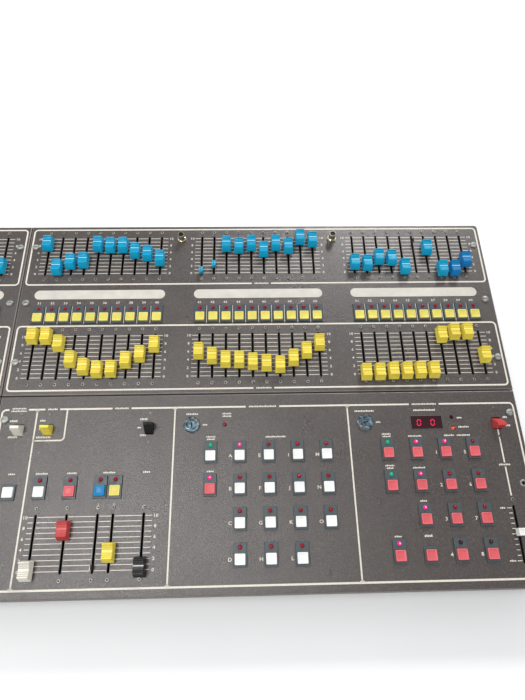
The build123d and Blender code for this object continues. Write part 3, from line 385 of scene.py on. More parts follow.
# ---------------------------------------------------------------- mesh building, in the top's plane
class Shape:
    """Closed shells gathered into one piece; each face keeps the number of its material."""

    def __init__(self):
        self.points = []
        self.faces = []
        self.kinds = []

    def put(self, points, faces, kinds, place=(0, 0), turn=0.0):
        start = len(self.points)
        c, s = math.cos(turn), math.sin(turn)
        x0, y0 = place
        self.points += [(x0 + x * c - y * s, y0 + x * s + y * c, z) for x, y, z in points]
        self.faces += [tuple(start + i for i in face) for face in faces]
        self.kinds += kinds if isinstance(kinds, list) else [kinds] * len(faces)

    def rings(self, rings, kinds=0, place=(0, 0), turn=0.0, loop=False):
        """A skin over rings of equal length; kinds may be one number per band, loop joins last to first."""
        count = len(rings[0])
        points = [point for ring in rings for point in ring]
        faces = []
        marks = []
        bands = len(rings) if loop else len(rings) - 1
        for band in range(bands):
            low, high = band * count, ((band + 1) % len(rings)) * count
            for i in range(count):
                j = (i + 1) % count
                faces.append((low + i, low + j, high + j, high + i))
                marks.append(kinds[band] if isinstance(kinds, list) else kinds)
        if not loop:
            faces.append(tuple(reversed(range(count))))
            faces.append(tuple((len(rings) - 1) * count + i for i in range(count)))
            marks.append(marks[0])
            marks.append(kinds[-1] if isinstance(kinds, list) else kinds)
        self.put(points, faces, marks, place, turn)

    def piece(self, name, materials, body="desk", nodes=(), smooth=32):
        mesh = bpy.data.meshes.new(name)
        mesh.from_pydata([TOP @ Vector(point) for point in self.points], [], self.faces)
        mesh.polygons.foreach_set("material_index", self.kinds)
        for label in materials:
            mesh.materials.append(MATERIALS[label])
        if smooth:
            mesh.polygons.foreach_set("use_smooth", [True] * len(mesh.polygons))
            mesh.set_sharp_from_angle(angle=math.radians(smooth))
        mesh.validate()
        made = bpy.data.objects.new(name, mesh)
        bpy.context.scene.collection.objects.link(made)
        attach(made, body)
        if nodes:
            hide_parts(*nodes)
        return made


def outline(half_x, half_y, radius, steps=4):
    """A rounded rectangle as points, anticlockwise."""
    found = []
    radius = max(min(radius, half_x, half_y), 0.001)
    for number, (sx, sy) in enumerate(((1, 1), (-1, 1), (-1, -1), (1, -1))):
        for step in range(steps + 1):
            angle = math.pi / 2 * (number + step / steps)
            found.append((sx * (half_x - radius) + radius * math.cos(angle),
                          sy * (half_y - radius) + radius * math.sin(angle)))
    return found


def circle(radius, steps=20):
    return [(radius * math.cos(2 * math.pi * i / steps), radius * math.sin(2 * math.pi * i / steps))
            for i in range(steps)]


def at(ring, height):
    return [(x, y, height) for x, y in ring]


def turned(profile, steps=20):
    """Rings of a turned shape from (radius, height) pairs."""
    return [at(circle(radius, steps), height) for radius, height in profile]


INK = (-0.02, 0.07)             # the printing's underside and face, from the panel's surface
BORDER_WIDTH = 2.2
BORDER_RADIUS = 5.0
BEND_STEPS = 6


def printed(shape, ring, place, turn=0.0):
    """A printed patch of the ring's outline, a hair thicker than nothing."""
    shape.rings([at(ring, height) for height in INK], 0, place, turn)


def flat_bar(shape, x0, x1, y0, y1, radius=0.0):
    ring = outline(abs(x1 - x0) / 2, abs(y1 - y0) / 2, radius, 3 if radius else 1)
    printed(shape, ring, ((x0 + x1) / 2, (y0 + y1) / 2))


def printed_frame(shape, x0, x1, y0, y1, gaps):
    """A printed rounded border; gaps are (edge, start, end) along its top or bottom line."""
    half, radius = BORDER_WIDTH / 2, BORDER_RADIUS
    middle = ((x0 + x1) / 2, (y0 + y1) / 2)
    size = ((x1 - x0) / 2, (y1 - y0) / 2)
    for edge, y in (("top", y1), ("bottom", y0)):
        cuts = sorted((a, b) for where, a, b in gaps if where == edge)
        start = x0 + radius
        for a, b in [*cuts, (x1 - radius, None)]:
            flat_bar(shape, start, a, y - half, y + half)
            start = b
    for x in (x0, x1):
        flat_bar(shape, x - half, x + half, y0 + radius, y1 - radius)
    for number, (sx, sy) in enumerate(((1, 1), (-1, 1), (-1, -1), (1, -1))):
        centre = (middle[0] + sx * (size[0] - radius), middle[1] + sy * (size[1] - radius))
        lower, upper = [], []
        for step in range(BEND_STEPS + 1):
            angle = math.pi / 2 * (number + step / BEND_STEPS)
            for r in (radius - half, radius + half):
                point = (centre[0] + r * math.cos(angle), centre[1] + r * math.sin(angle))
                lower.append((*point, INK[0]))
                upper.append((*point, INK[1]))
        count = len(lower)
        faces = []
        for step in range(BEND_STEPS):
            a, b, c, d = 2 * step, 2 * step + 1, 2 * step + 3, 2 * step + 2
            faces += [(count + a, count + b, count + c, count + d), (d, c, b, a),
                      (b, c, count + c, count + b), (d, a, count + a, count + d)]
        faces += [(0, 1, count + 1, count), (count - 1, count - 2, 2 * count - 2, 2 * count - 1)]
        shape.put(lower + upper, faces, 0)


GLYPHS = {}
GLYPH_WIDTH = 1.12
LETTERS = "ABCDEFGHIJKLMNO"


def glyph(character):
    """The outline of one digit or letter as a thin solid, one unit high."""
    if character not in GLYPHS:
        curve = bpy.data.curves.new("glyph", "FONT")
        curve.body = character
        curve.size = 1.38
        curve.align_x = "CENTER"
        curve.resolution_u = 2
        curve.extrude = 0.01
        curve.offset = 0.018
        holder = bpy.data.objects.new("glyph", curve)
        bpy.context.scene.collection.objects.link(holder)
        bpy.context.view_layer.update()
        mesh = bpy.data.meshes.new_from_object(holder)
        points = [tuple(vertex.co) for vertex in mesh.vertices]
        faces = [tuple(polygon.vertices) for polygon in mesh.polygons]
        GLYPHS[character] = (points, faces)
        bpy.data.objects.remove(holder)
        bpy.data.curves.remove(curve)
        bpy.data.meshes.remove(mesh)
    return GLYPHS[character]


def write(shape, text, x, y, height):
    """A number or a single letter, centred on x and y."""
    advance = height * 0.76 * GLYPH_WIDTH
    start = x - advance * (len(text) - 1) / 2
    for number, character in enumerate(text):
        points, faces = glyph(character)
        scaled = [(px * height * GLYPH_WIDTH, (py - 0.5) * height, 0.03 + pz * 4) for px, py, pz in points]
        shape.put(scaled, faces, 0, (start + advance * number, y))


def word(shape, x, y, length, height=2.3):
    """A row of plain dashes, some of them taller, where the desk has a printed word."""
    count = max(2, round(length / 2.1))
    step = length / count
    for number in range(count):
        left = x - length / 2 + number * step
        tall = 0.45 if number % 3 == 1 else 0.0
        flat_bar(shape, left + 0.28, left + step - 0.28, y - height / 2, y + height / 2 + tall, radius=0.3)


# ---------------------------------------------------------------- fader caps
GROOVE_PITCH = 2.1
GROOVE_WIDTH = 0.8


def cap_profile(groove, pointer, front_grooves):
    """Side view from rear foot over the top to front foot: (y, height, material of the band that follows)."""
    def hollow(y):
        return 12.55 + 0.0295 * (y - 0.6) ** 2

    points = [(11.2, CAP_BASE, 0), (11.05, 4.2, 0), (10.15, 13.4, 0), (9.85, 14.5, 0),
              (9.3, 14.95, 0), (8.7, 14.7, 0)]
    for number in range(7):
        y = 7.7 - GROOVE_PITCH * number
        if number == 3:
            points += [(y + 0.55, hollow(y + 0.55), 0), (y + 0.45, hollow(y) + pointer, 1),
                       (y - 0.45, hollow(y) + pointer, 0), (y - 0.55, hollow(y - 0.55), 0)]
        else:
            half = GROOVE_WIDTH / 2
            points += [(y + half, hollow(y + half), 2), (y + half - 0.2, hollow(y) - groove, 2),
                       (y - half + 0.2, hollow(y) - groove, 2), (y - half, hollow(y - half), 0)]
    points += [(-6.35, 14.05, 0), (-6.9, 14.0, 0), (-7.35, 13.4, 0)]
    for number in range(front_grooves):
        height = 12.3 - 2.3 * number
        y = -7.35 - (13.4 - height) * 0.37
        points += [(y, height, 2), (y + 0.3, height - 0.25, 2), (y - 0.1, height - 0.65, 0)]
    points += [(-11.0, 4.2, 0), (-11.2, CAP_BASE, 0)]
    return points


def add_cap(shape, place, profile, kinds=(0, 1, 3)):
    """One cap: its side view drawn across, narrower at the top, with eased side edges.

    kinds are the material numbers of its body, its pointer line and its grooves, whose darker colour is
    painted shade.
    """
    rings = []
    for y, height, _ in profile:
        half = 7.0 - (height - CAP_BASE) / 12.0
        outer_y = y * 0.955
        outer_z = height if height <= CAP_BASE else height - (height - 6.0) * 0.045
        rings.append([(-half, outer_y, outer_z), (-half + 0.55, y, height), (half - 0.55, y, height),
                      (half, outer_y, outer_z)])
    count = len(rings)
    points = [point for ring in rings for point in ring]
    faces = []
    marks = []
    for i in range(count):
        j = (i + 1) % count
        for k in range(3):
            faces.append((i * 4 + k, i * 4 + k + 1, j * 4 + k + 1, j * 4 + k))
            marks.append(kinds[profile[i][2]] if i < count - 1 else kinds[0])
    faces.append(tuple(i * 4 for i in range(count)))
    faces.append(tuple(i * 4 + 3 for i in reversed(range(count))))
    marks += [kinds[0], kinds[0]]
    shape.put(points, faces, marks, place)


def add_lever(shape, place, kind):
    blade = outline(0.6, 3.0, 0.25, 2)
    tip = outline(0.45, 2.7, 0.25, 2)
    shape.rings([at(blade, LEVER_FOOT), at(blade, LEVER_TOP - 0.5), at(tip, LEVER_TOP)], kind, place)


RIDGED = cap_profile(0.4, 0.1, 0)
STRIPED = cap_profile(0.45, 0.15, 3)
PLAIN = cap_profile(0.12, 0.05, 0)
BLUE_CAP = ("blue", "blue_line", RIDGED)
YELLOW_CAP = ("yellow", "bright_yellow", STRIPED)
CREAM_CAP = ("cream", "cream", STRIPED)


def fader_piece(node_name, places, colour, line, profile, broken=(), bare=(), special=()):
    """Replaces one CAD fader node: blades and detailed caps that ride together."""
    shape = Shape()
    for place in places:
        add_lever(shape, place, 2)
        if place in broken:
            core = [(outline(3.0, 4.8, 2.4, 4), CAP_BASE), (outline(3.0, 4.8, 2.4, 4), 8.4),
                    (outline(2.6, 4.4, 2.1, 4), 9.4), (outline(1.9, 3.7, 1.6, 4), 9.7)]
            shape.rings([at(ring, height) for ring, height in core], 0, place)
            shape.rings([at(outline(1.5, 0.9, 0.4), 9.6), at(outline(1.4, 0.8, 0.4), 10.0)], 1, place)
        elif place not in bare:
            add_cap(shape, place, profile, (4, 1, 3) if place in special else (0, 1, 3))
    # the fourth material paints shade into the grooves
    materials = [colour, line, "blade", colour + "_groove_shade"] + (["deep_blue"] if special else [])
    return shape.piece(node_name.rstrip("s") + "_detailed", materials, node_name, [node_name], 24)


ONE = {c: set_to(column(c), PRESET_ONE_ROW, ONE_LEVELS[c - 1]) for c in range(1, 61)}
TWO = {c: set_to(column(c), PRESET_TWO_ROW, TWO_LEVELS[c - 1]) for c in range(1, 61)}
others = range(32, 61)
one_low = [ONE[c] for c in others if ONE_LEVELS[c - 1] < LOW_LIMIT]
one_high = [ONE[c] for c in others if ONE_LEVELS[c - 1] >= LOW_LIMIT]
two_low = [TWO[c] for c in others if TWO_LEVELS[c - 1] < LOW_LIMIT]
two_high = [TWO[c] for c in others if TWO_LEVELS[c - 1] >= LOW_LIMIT]
fader_piece("left_preset_one_faders", [ONE[c] for c in range(1, 31)], *BLUE_CAP)
fader_piece("preset_one_low_faders", one_low, *BLUE_CAP,
            broken=[ONE[41], ONE[42]], special=[ONE[59], ONE[60]])
fader_piece("preset_one_high_faders", one_high, *BLUE_CAP, bare=[ONE[56]])
fader_piece("channel_31_preset_one_fader", [ONE[31]], *BLUE_CAP)
fader_piece("left_preset_two_faders", [TWO[c] for c in range(1, 31)], *YELLOW_CAP)
fader_piece("preset_two_low_faders", two_low, *YELLOW_CAP)
fader_piece("preset_two_high_faders", two_high, *YELLOW_CAP)
fader_piece("channel_31_preset_two_fader", [TWO[31]], *YELLOW_CAP)

PLAYBACK = [LEFT + FIRST_COLUMN + BANK_PITCH * bank + 2 * PITCH * step
            for bank in range(3) for step in range(5)]
MEMORY_X, CHASE_X, ONE_X, TWO_X, GRAND_X = (FIRST_COLUMN + PITCH * step for step in (2, 4, 6, 7, 9))
CLEAR_X, SPEED_X = FIRST_COLUMN, 648.5
fader_piece("playback_faders", [set_to(x, MASTER_ROW, 0) for x in PLAYBACK], *CREAM_CAP)
fader_piece("memory_master_fader", [set_to(MEMORY_X, MASTER_ROW, 0.2)], *CREAM_CAP)
fader_piece("chase_master_fader", [set_to(CHASE_X, MASTER_ROW, 7.4)], "red", "red_highlight_line", PLAIN)
bare_master = set_to(ONE_X, MASTER_ROW, 0.6)
fader_piece("preset_one_master_fader", [bare_master], "blue", "blue_line", PLAIN, bare=[bare_master])
fader_piece("preset_two_master_fader", [set_to(TWO_X, MASTER_ROW, 3.2)], *YELLOW_CAP)
fader_piece("grand_master_fader", [set_to(GRAND_X, MASTER_ROW, 0.5)], "black", "line", STRIPED)

speed = Shape()
speed_place = set_to(SPEED_X, MASTER_ROW, 5.3)
add_lever(speed, speed_place, 1)
knob = ((5.0, 4.4, 1.0, CAP_BASE), (5.0, 4.4, 1.0, 10.6), (4.7, 4.1, 0.9, 11.5),
        (4.2, 3.6, 0.8, 11.9), (3.6, 3.0, 0.7, 11.9), (3.2, 2.6, 0.6, 11.5))
speed.rings([at(outline(half_x, half_y, radius), height) for half_x, half_y, radius, height in knob],
            0, speed_place)
speed.piece("chase_speed_knob", ["white", "blade"], "chase_speed_fader", ["chase_speed_fader"],
            40)


# ---------------------------------------------------------------- buttons
def button_piece(node_name, places, colour, rim, drop=CAP_DROP):
    """Square caps with an eased, slightly raised rim round a shallow dish; the rim takes a lighter copy of
    the cap colour as a painted highlight.
    """
    shape = Shape()
    for x, y in places:
        levels = ((6.3, 1.0, -BUTTON_TOP - 2.6), (6.3, 1.0, -0.7), (6.15, 0.95, -0.25), (5.8, 0.8, 0.0),
                  (5.3, 0.7, 0.0), (5.0, 0.6, -0.2), (2.0, 0.4, -0.24))
        rings = [at(outline(half, half, radius, 3), BUTTON_TOP + depth) for half, radius, depth in levels]
        shape.rings(rings, [0, 1, 1, 1, 0, 0], (x, y - drop))
    name = node_name.rstrip("s") + "_cap"
    return shape.piece(name, [colour, rim], node_name, [node_name], 40)


def grid(origin, columns):
    return [(origin + 2 * PITCH * c, GRID_TOP - GRID_STEP * r) for c, rows in columns for r in rows]


FLASH = [(column(c), FLASH_ROW) for c in range(1, 61)]
PLAYBACK_BUTTONS = [(x, BUTTON_ROW) for x in PLAYBACK]
MEMORY_GRID, CHASE_GRID = 275.1, 501.3
MEMORY_LETTERS = grid(MEMORY_GRID, ((1, range(4)), (2, range(4)), (3, range(4)), (4, range(3))))
STORE = grid(MEMORY_GRID, ((0, (0,)),))
HOLD = grid(MEMORY_GRID, ((0, (1,)),))
CHASE_WORDS = grid(CHASE_GRID, ((0, (0, 1, 3)), (1, (0, 1, 2))))
CHASE_NUMBERS = grid(CHASE_GRID, ((2, range(4)), (3, range(4))))
STEP = [(x, y - PLAIN_DROP) for x, y in grid(CHASE_GRID, ((1, (3,)),))]
CLEAR = (CLEAR_X, BUTTON_ROW - PLAIN_DROP)
MASTERS = [(x, BUTTON_ROW) for x in (MEMORY_X, CHASE_X, ONE_X, TWO_X)]
button_piece("flash_buttons", FLASH[:30] + FLASH[31:] + PLAYBACK_BUTTONS, "key_yellow", "key_rim_highlight")
button_piece("channel_31_flash_button", FLASH[30:31], "key_yellow", "key_rim_highlight")
button_piece("memory_buttons", STORE + MEMORY_LETTERS, "key_white", "key_white_rim_highlight")
button_piece("chase_buttons", CHASE_WORDS + CHASE_NUMBERS, "key_red", "key_red_rim_highlight")
button_piece("hold_button", HOLD, "key_red", "key_red_rim_highlight")
button_piece("step_button", STEP, "key_red", "key_red_rim_highlight", 0)
button_piece("clear_button", [CLEAR], "key_white", "key_white_rim_highlight", 0)
button_piece("memory_master_button", MASTERS[0:1], "key_white", "key_white_rim_highlight")
button_piece("chase_master_button", MASTERS[1:2], "key_red", "key_red_rim_highlight")
button_piece("preset_one_button", MASTERS[2:3], "key_blue", "key_blue_rim_highlight")
button_piece("preset_two_button", MASTERS[3:4], "key_yellow", "key_rim_highlight")

# ---------------------------------------------------------------- indicator lamps
LIT = HOLD + MEMORY_LETTERS[0:1] + CHASE_WORDS[2:] + CHASE_NUMBERS[0:1]
GREEN = STORE + CHASE_WORDS[0:2]
DEAD = [CHASE_NUMBERS[3], CHASE_NUMBERS[7]]
MEMORY_LAMPS = STORE + HOLD + MEMORY_LETTERS
ALL_LAMPS = FLASH + PLAYBACK_BUTTONS + MASTERS + MEMORY_LAMPS + CHASE_WORDS + CHASE_NUMBERS
LENS_MATERIALS = ["led_dark", "led_lit", "led_green", "led_dead", "coral", "led_core"]
UNLIT, BRIGHT, GREEN_LIT, CLOUDED, CORAL, CROWN = range(6)


def lens(shape, x, y, base=BEZEL_HEIGHT, kind=UNLIT):
    """A domed lens; a lit one has a brighter crown."""
    profile = [(LED_RADIUS, -4.8), (LED_RADIUS, 0.4), (2.38, 1.0), (2.12, 1.7), (1.65, 2.25),
               (0.95, 2.65), (0.8, 2.69), (0.3, 2.82)]
    bands = [kind] * 5 + [CROWN if kind == BRIGHT else kind] * 2
    shape.rings(turned([(r, base + h) for r, h in profile], 16), bands, (x, y))


lamps = Shape()
collars = Shape()
kinds = {place: BRIGHT for place in LIT}
kinds.update({place: GREEN_LIT for place in GREEN})
kinds.update({place: CLOUDED for place in DEAD})


def collar(shape, place, base):
    profile = [(2.56, -0.1), (2.56, 0.35), (2.7, 0.5), (2.95, 0.45), (3.05, 0.2), (3.05, -0.1)]
    shape.rings(turned([(r, base + h) for r, h in profile], 16), 0, place, loop=True)


for place in ALL_LAMPS:
    x, y = place[0], place[1] + LED_RISE
    lens(lamps, x, y, kind=kinds.get(place, UNLIT))
    collar(collars, (x, y), BEZEL_HEIGHT)
lens(lamps, *ERROR_LAMP, 0.0)
collar(collars, ERROR_LAMP, 0.0)
ARROW_RADIUS = 2.4
corners = [math.radians(angle) for angle in (-90, 30, 150)]
triangle = [(ARROW_RADIUS * math.cos(a), ARROW_RADIUS * math.sin(a)) for a in corners]
inner = [(x * 0.82, y * 0.82) for x, y in triangle]
for place, kind, turn in ((UP_LAMP, CLOUDED, math.pi), (DOWN_LAMP, CORAL, 0.0)):
    lamps.rings([at(triangle, -3), at(triangle, 0.8), at(inner, 1.2)], kind, place, turn)
lamps.piece("indicator_lenses", LENS_MATERIALS, "desk", ["leds"], 40)
collars.piece("lens_collars", ["led_ring"], "desk", (), 40)

# ---------------------------------------------------------------- small screws with sockets
SCREW_END = -3.0


def socket_head(shape, x, y, radius, height, turn):
    """A pan head with a six-sided recess, whose walls and floor are painted dark as shade."""
    recess = [(radius * 0.52 / math.cos((angle + math.pi / 6) % (math.pi / 3) - math.pi / 6), angle)
              for angle in (2 * math.pi * step / 18 for step in range(18))]
    hexagon = [(r * math.cos(angle), r * math.sin(angle)) for r, angle in recess]
    skin = turned([(radius * 0.55, SCREW_END), (radius * 0.55, 0.0), (radius, 0.0), (radius, height * 0.5),
                   (radius * 0.88, height * 0.9), (radius * 0.7, height)], 18)
    skin += [at(hexagon, height * 0.96), at(hexagon, height * 0.35)]
    shape.rings(skin, [0, 0, 0, 0, 0, 0, 1], (x, y), turn)


screws = Shape()
fader_places = [(column(c), row) for row in (PRESET_ONE_ROW, PRESET_TWO_ROW) for c in range(1, 61)]
MASTER_COLUMNS = [MEMORY_X, CHASE_X, ONE_X, TWO_X, GRAND_X]
fader_places += [(x, MASTER_ROW) for x in PLAYBACK + MASTER_COLUMNS + [SPEED_X]]
for number, (x, y) in enumerate(fader_places):
    for side, shift in ((-FADER_SCREW_REACH, 0.0), (FADER_SCREW_REACH, 0.5)):
        socket_head(screws, x, y + side, 2.2, 1.25, number * 0.37 + shift)
for number, x in enumerate((CLEAR_X, MEMORY_X, GRAND_X, SPEED_X)):
    for side in (-PADDLE_SCREW_REACH, PADDLE_SCREW_REACH):
        socket_head(screws, x, PADDLE_SCREW_ROW + side, 1.3, 0.8, number * 0.2)
screws.piece("socket_head_control_screws", ["screw_rim", "recess"], "desk", ["control_screws"],
             40)

# the seat that a missing panel screw has left, and a near-black insert that paints the shade inside each of
# the two keyholes
seat = Shape()
washer = [(2.3, -0.3), (2.3, 0.12), (3.0, 0.16), (4.3, 0.1), (4.5, -0.02)]
seat.rings(turned(washer, 24), 0, EMPTY_SCREW_HOLE, loop=True)
seat.piece("missing_screw_seat", ["zinc"], "desk", (), 40)
for key, place, turn in (("memory_key", MEMORY_KEY, 0.0), ("chase_key", CHASE_KEY, CHASE_KEY_TURN)):
    keyhole_shade = Shape()
    bar = outline(0.88, 3.65, 0.2)
    keyhole_shade.rings([at(bar, -6.6), at(bar, 2.5), at(outline(0.8, 3.5, 0.2), 2.7)], 0, place, math.radians(turn))
    keyhole_shade.piece(key + "_keyhole_shade", ["recess"], key + "_plug", (), 40)

# ---------------------------------------------------------------- printing
SCALE_MARKS = range(11)
SLOT_GAP = 2.1
BORDER_LEFT, BORDER_RIGHT = 5.5, 675.0
PRESET_BORDERS = ((-100.6, -6.2), (-260.5, -166.7))
PRESET_BORDER_LEFT, PRESET_BORDER_RIGHT = 5.3, 675.5
PRESET_BORDER_GAP = 344.5
SCALE_OVERHANG = 10
LOWER_BORDER = (-499.1, -286.1)
DIVIDER_ENDS = (-498.4, -286.8)
DIVIDER_CORNERS = ((-498.0, 1), (-287.2, -1))
DIVIDERS = (50.3, 228.0, 453.5)
BOX_RIGHT, BOX_BOTTOM = 88.7, -326.9
LINE_HALF = 0.95
BOX_BEND, LINE_BEND = 4.5, 2.4
WORD_RISE = 16.6


def scale_lines(shape, row, start, end, columns):
    """Eleven lines across a bank, broken at the slots."""
    lefts = [start] + [x + SLOT_GAP for x in columns]
    rights = [x - SLOT_GAP for x in columns] + [end]
    for level in SCALE_MARKS:
        y = level_y(row, level)
        for left, right in zip(lefts, rights):
            flat_bar(shape, left, right, y - 0.38, y + 0.38)


def bank_scale(shape, row, columns):
    scale_lines(shape, row, columns[0] - SCALE_OVERHANG, columns[-1] + SCALE_OVERHANG, columns)


def scale_numbers(shape, row, x, height=3.6):
    for level in SCALE_MARKS[::2]:
        write(shape, str(level), x, level_y(row, level), height)


def preset_print(shape, module, first_channel):
    middle = module + PRESET_BORDER_GAP
    left, right = module + PRESET_BORDER_LEFT, module + PRESET_BORDER_RIGHT
    for y0, y1 in PRESET_BORDERS:
        printed_frame(shape, left, right, y0, y1, [("bottom", middle - 14, middle + 14)])
        word(shape, middle, y0, 21, 1.9)
    for bank in range(3):
        start = module + FIRST_COLUMN + BANK_PITCH * bank
        columns = [start + PITCH * step for step in range(10)]
        for row in (PRESET_ONE_ROW, PRESET_TWO_ROW):
            bank_scale(shape, row, columns)
            scale_numbers(shape, row, columns[0] - 14.6)
            scale_numbers(shape, row, columns[-1] + 14.4)
        for step, x in enumerate(columns):
            write(shape, str(first_channel + 10 * bank + step), x - 1.2, CHANNEL_ROW, 3.5)
        for x in columns[1:]:
            between = x - PITCH / 2
            flat_bar(shape, between - 0.4, between + 0.4, FLASH_ROW - 13.4, FLASH_ROW + 13.4)


for side, module, first_channel in (("left", LEFT, 1), ("right", RIGHT, 31)):
    preset = Shape()
    preset_print(preset, module, first_channel)
    preset.piece(side + "_preset_print", ["ink"], smooth=0)

playback_print = Shape()
printed_frame(playback_print, LEFT + BORDER_LEFT, LEFT + BORDER_RIGHT, *LOWER_BORDER,
              [("top", LEFT + 322, LEFT + 358)])
word(playback_print, LEFT + 340, LOWER_BORDER[1], 29, 1.9)
for bank in range(3):
    columns = PLAYBACK[5 * bank:5 * bank + 5]
    bank_scale(playback_print, MASTER_ROW, columns)
    scale_numbers(playback_print, MASTER_ROW, columns[0] - 14.6)
    scale_numbers(playback_print, MASTER_ROW, columns[-1] + 14.6)
    for step, x in enumerate(columns):
        write(playback_print, LETTERS[5 * bank + step], x, -366.0, 4.2)
for x in DIVIDERS[1:]:
    middle = LEFT + x - 3
    flat_bar(playback_print, middle - 0.9, middle + 0.9, *DIVIDER_ENDS)
playback_print.piece("playback_print", ["ink"], smooth=0)


def printed_bend(shape, x, y, sx, sy, radius):
    """A quarter turn of a line, in short bars, from the corner where the straight lines would meet."""
    steps = 5
    for step in range(steps):
        angles = (math.pi / 2 * (step + k) / steps for k in (0, 1))
        (x0, y0), (x1, y1) = ((x + sx * radius - sx * radius * math.cos(angle),
                               y + sy * radius - sy * radius * math.sin(angle)) for angle in angles)
        ring = outline(math.hypot(x1 - x0, y1 - y0) / 2 + 0.25, LINE_HALF, 0.0, 1)
        printed(shape, ring, ((x0 + x1) / 2, (y0 + y1) / 2), math.atan2(y1 - y0, x1 - x0))


control = Shape()
gaps = [("top", 14, 39), ("top", 60, 79), ("top", 146.5, 171), ("top", 320, 364), ("top", 536, 576)]
printed_frame(control, BORDER_LEFT, BORDER_RIGHT, *LOWER_BORDER, gaps)
for x in DIVIDERS:
    flat_bar(control, x - LINE_HALF, x + LINE_HALF, *DIVIDER_ENDS)
box_left = DIVIDERS[0]
flat_bar(control, BOX_RIGHT - LINE_HALF, BOX_RIGHT + LINE_HALF, BOX_BOTTOM + BOX_BEND, DIVIDER_ENDS[1])
flat_bar(control, box_left + 0.9, BOX_RIGHT - 4, BOX_BOTTOM - LINE_HALF, BOX_BOTTOM + LINE_HALF)
printed_bend(control, BOX_RIGHT, BOX_BOTTOM, -1, 1, BOX_BEND)
printed_bend(control, box_left, BOX_BOTTOM, 1, 1, LINE_BEND)
printed_bend(control, box_left, BOX_BOTTOM, 1, -1, LINE_BEND)
for x in DIVIDERS:
    for sx in (-1, 1):
        for y, sy in DIVIDER_CORNERS:
            printed_bend(control, x, y, sx, sy, LINE_BEND)
BORDER_WORDS = (
    (26.5, -284.6, 18, 1.6),
    (26.5, -288.0, 20, 1.6),
    (69.5, -286.1, 13, 1.9),
    (158.7, -286.1, 18, 1.9),
    (342, -286.1, 36, 1.9),
    (556, -286.1, 33, 1.9),
)
for x, y, length, height in BORDER_WORDS:
    word(control, x, y, length, height)

# the master faders
scale_lines(control, MASTER_ROW, 59.1, 206.4, MASTER_COLUMNS)
scale_numbers(control, MASTER_ROW, 55.2, 3.8)
scale_numbers(control, MASTER_ROW, 210.6, 3.8)
for x, length in ((CLEAR_X, 9), (MEMORY_X, 15), (CHASE_X, 12), ((ONE_X + TWO_X) / 2, 15), (GRAND_X, 9)):
    word(control, x, -368.3, length, 1.7)
for number, x in (("1", ONE_X), ("2", TWO_X)):
    write(control, number, x, -406.0, 2.4)

# paddles: dashes for each end of their travel, and a dot or a bar between the ends of three
PADDLE_MARKS = (
    (CLEAR_X, (-8.4, 12.3, 9.6), (-6.8, -8.7, 12)),
    (MEMORY_X, (-8.4, 12.3, 7.4), (-4.8, -9.4, 18.5)),
    (GRAND_X, (-8.0, 12.3, 9.6), (-7.8, -8.7, 8.2)),
    (SPEED_X, (12.4, 7.8, 6), (13.4, -3.3, 8.5)),
)
for x, *marks in PADDLE_MARKS:
    for across, up, length in marks:
        word(control, x + across, PADDLE_ROW + up, length)
    if x < GRAND_X:
        printed(control, circle(0.8, 12), (x - 11.2, PADDLE_ROW + 1.3))
flat_bar(control, GRAND_X - 15.4, GRAND_X - 10.9, PADDLE_ROW + 0.5, PADDLE_ROW + 2.1, radius=0.6)

# keys, error lamp, display
for (x, _), above, length in ((MEMORY_KEY, 14.5, 15.5), (CHASE_KEY, 15.2, 26)):
    word(control, x, KEY_ROW + above, length, 1.8)
    word(control, x + 17.0, KEY_ROW, 6.4, 1.7)
word(control, 295.4, KEY_ROW + 14.5, 11.7, 1.7)
word(control, 295.4, KEY_ROW + 11.0, 11.7, 1.7)
word(control, 555.2, -294.4, 29.5, 1.9)
word(control, 600.2, -305.4, 7, 1.7)
word(control, 603.9, -317.6, 14.3, 1.7)

# memory and chaser buttons
for number, (x, y) in enumerate(MEMORY_LETTERS):
    write(control, LETTERS[number], x - 11.8, y - CAP_DROP, 4.3)
for number, (x, y) in enumerate(CHASE_NUMBERS):
    write(control, str(number + 1), x - 11.7, y - CAP_DROP, 4.3)
for (x, y), lines in zip(STORE + HOLD + CHASE_WORDS,
                         ((12, 10), (9,), (12, 11), (12, 9), (9,), (18,), (16,), (9,))):
    for line, length in enumerate(reversed(lines)):
        word(control, x, y + WORD_RISE + 3.2 * line, length, 1.6)
word(control, STEP[0][0], STEP[0][1] + PLAIN_DROP + WORD_RISE, 10)
for (x, y), shift, length in zip((CHASE_NUMBERS[0], CHASE_NUMBERS[4]), (7.9, -10.1), (13.5, 17.7)):
    word(control, x + shift, y + 16.8, length, 1.7)
word(control, 358, -326.6, 26, 1.7)

# chaser speed
flat_bar(control, SPEED_X - 0.9, SPEED_X + 0.9, -405.0, -369.6)
flat_bar(control, SPEED_X - 0.9, SPEED_X + 0.9, -364.4, -321.4)
for level in SCALE_MARKS:
    y = level_y(MASTER_ROW, level)
    flat_bar(control, 640.2 if level % 5 == 0 else 641.6, 645.9, y - 0.42, y + 0.42)
word(control, SPEED_X - 0.5, -367.0, 15, 1.9)
word(control, 634.6, level_y(MASTER_ROW, 10), 7, 1.5)
word(control, 634.6, level_y(MASTER_ROW, 0), 8, 1.5)
control.piece("control_print", ["ink"], smooth=0)

# ---------------------------------------------------------------- display
WINDOW_HALF_X, WINDOW_HALF_Y = 20.5, 8.6
DIGIT_COLUMNS = (545.9, 564.0)
DIGIT_ROW = -311.2
DIGIT_WIDTH, DIGIT_HEIGHT, SEGMENT_WIDTH = 4.4, 7.6, 1.1
DIGIT_SLANT = 0.08
SEGMENT_LEVELS = (0.55, 0.72)

rim = Shape()
rim_levels = ((0.05, -0.02), (0.05, 0.75), (0.35, 0.85), (0.75, 0.6), (0.8, -0.02))
rim.rings([at(outline(WINDOW_HALF_X + grow, WINDOW_HALF_Y + grow, 0.6 + grow), height)
           for grow, height in rim_levels], 0, DISPLAY, loop=True)
rim.piece("display_rim", ["led_ring"], "desk", (), 40)


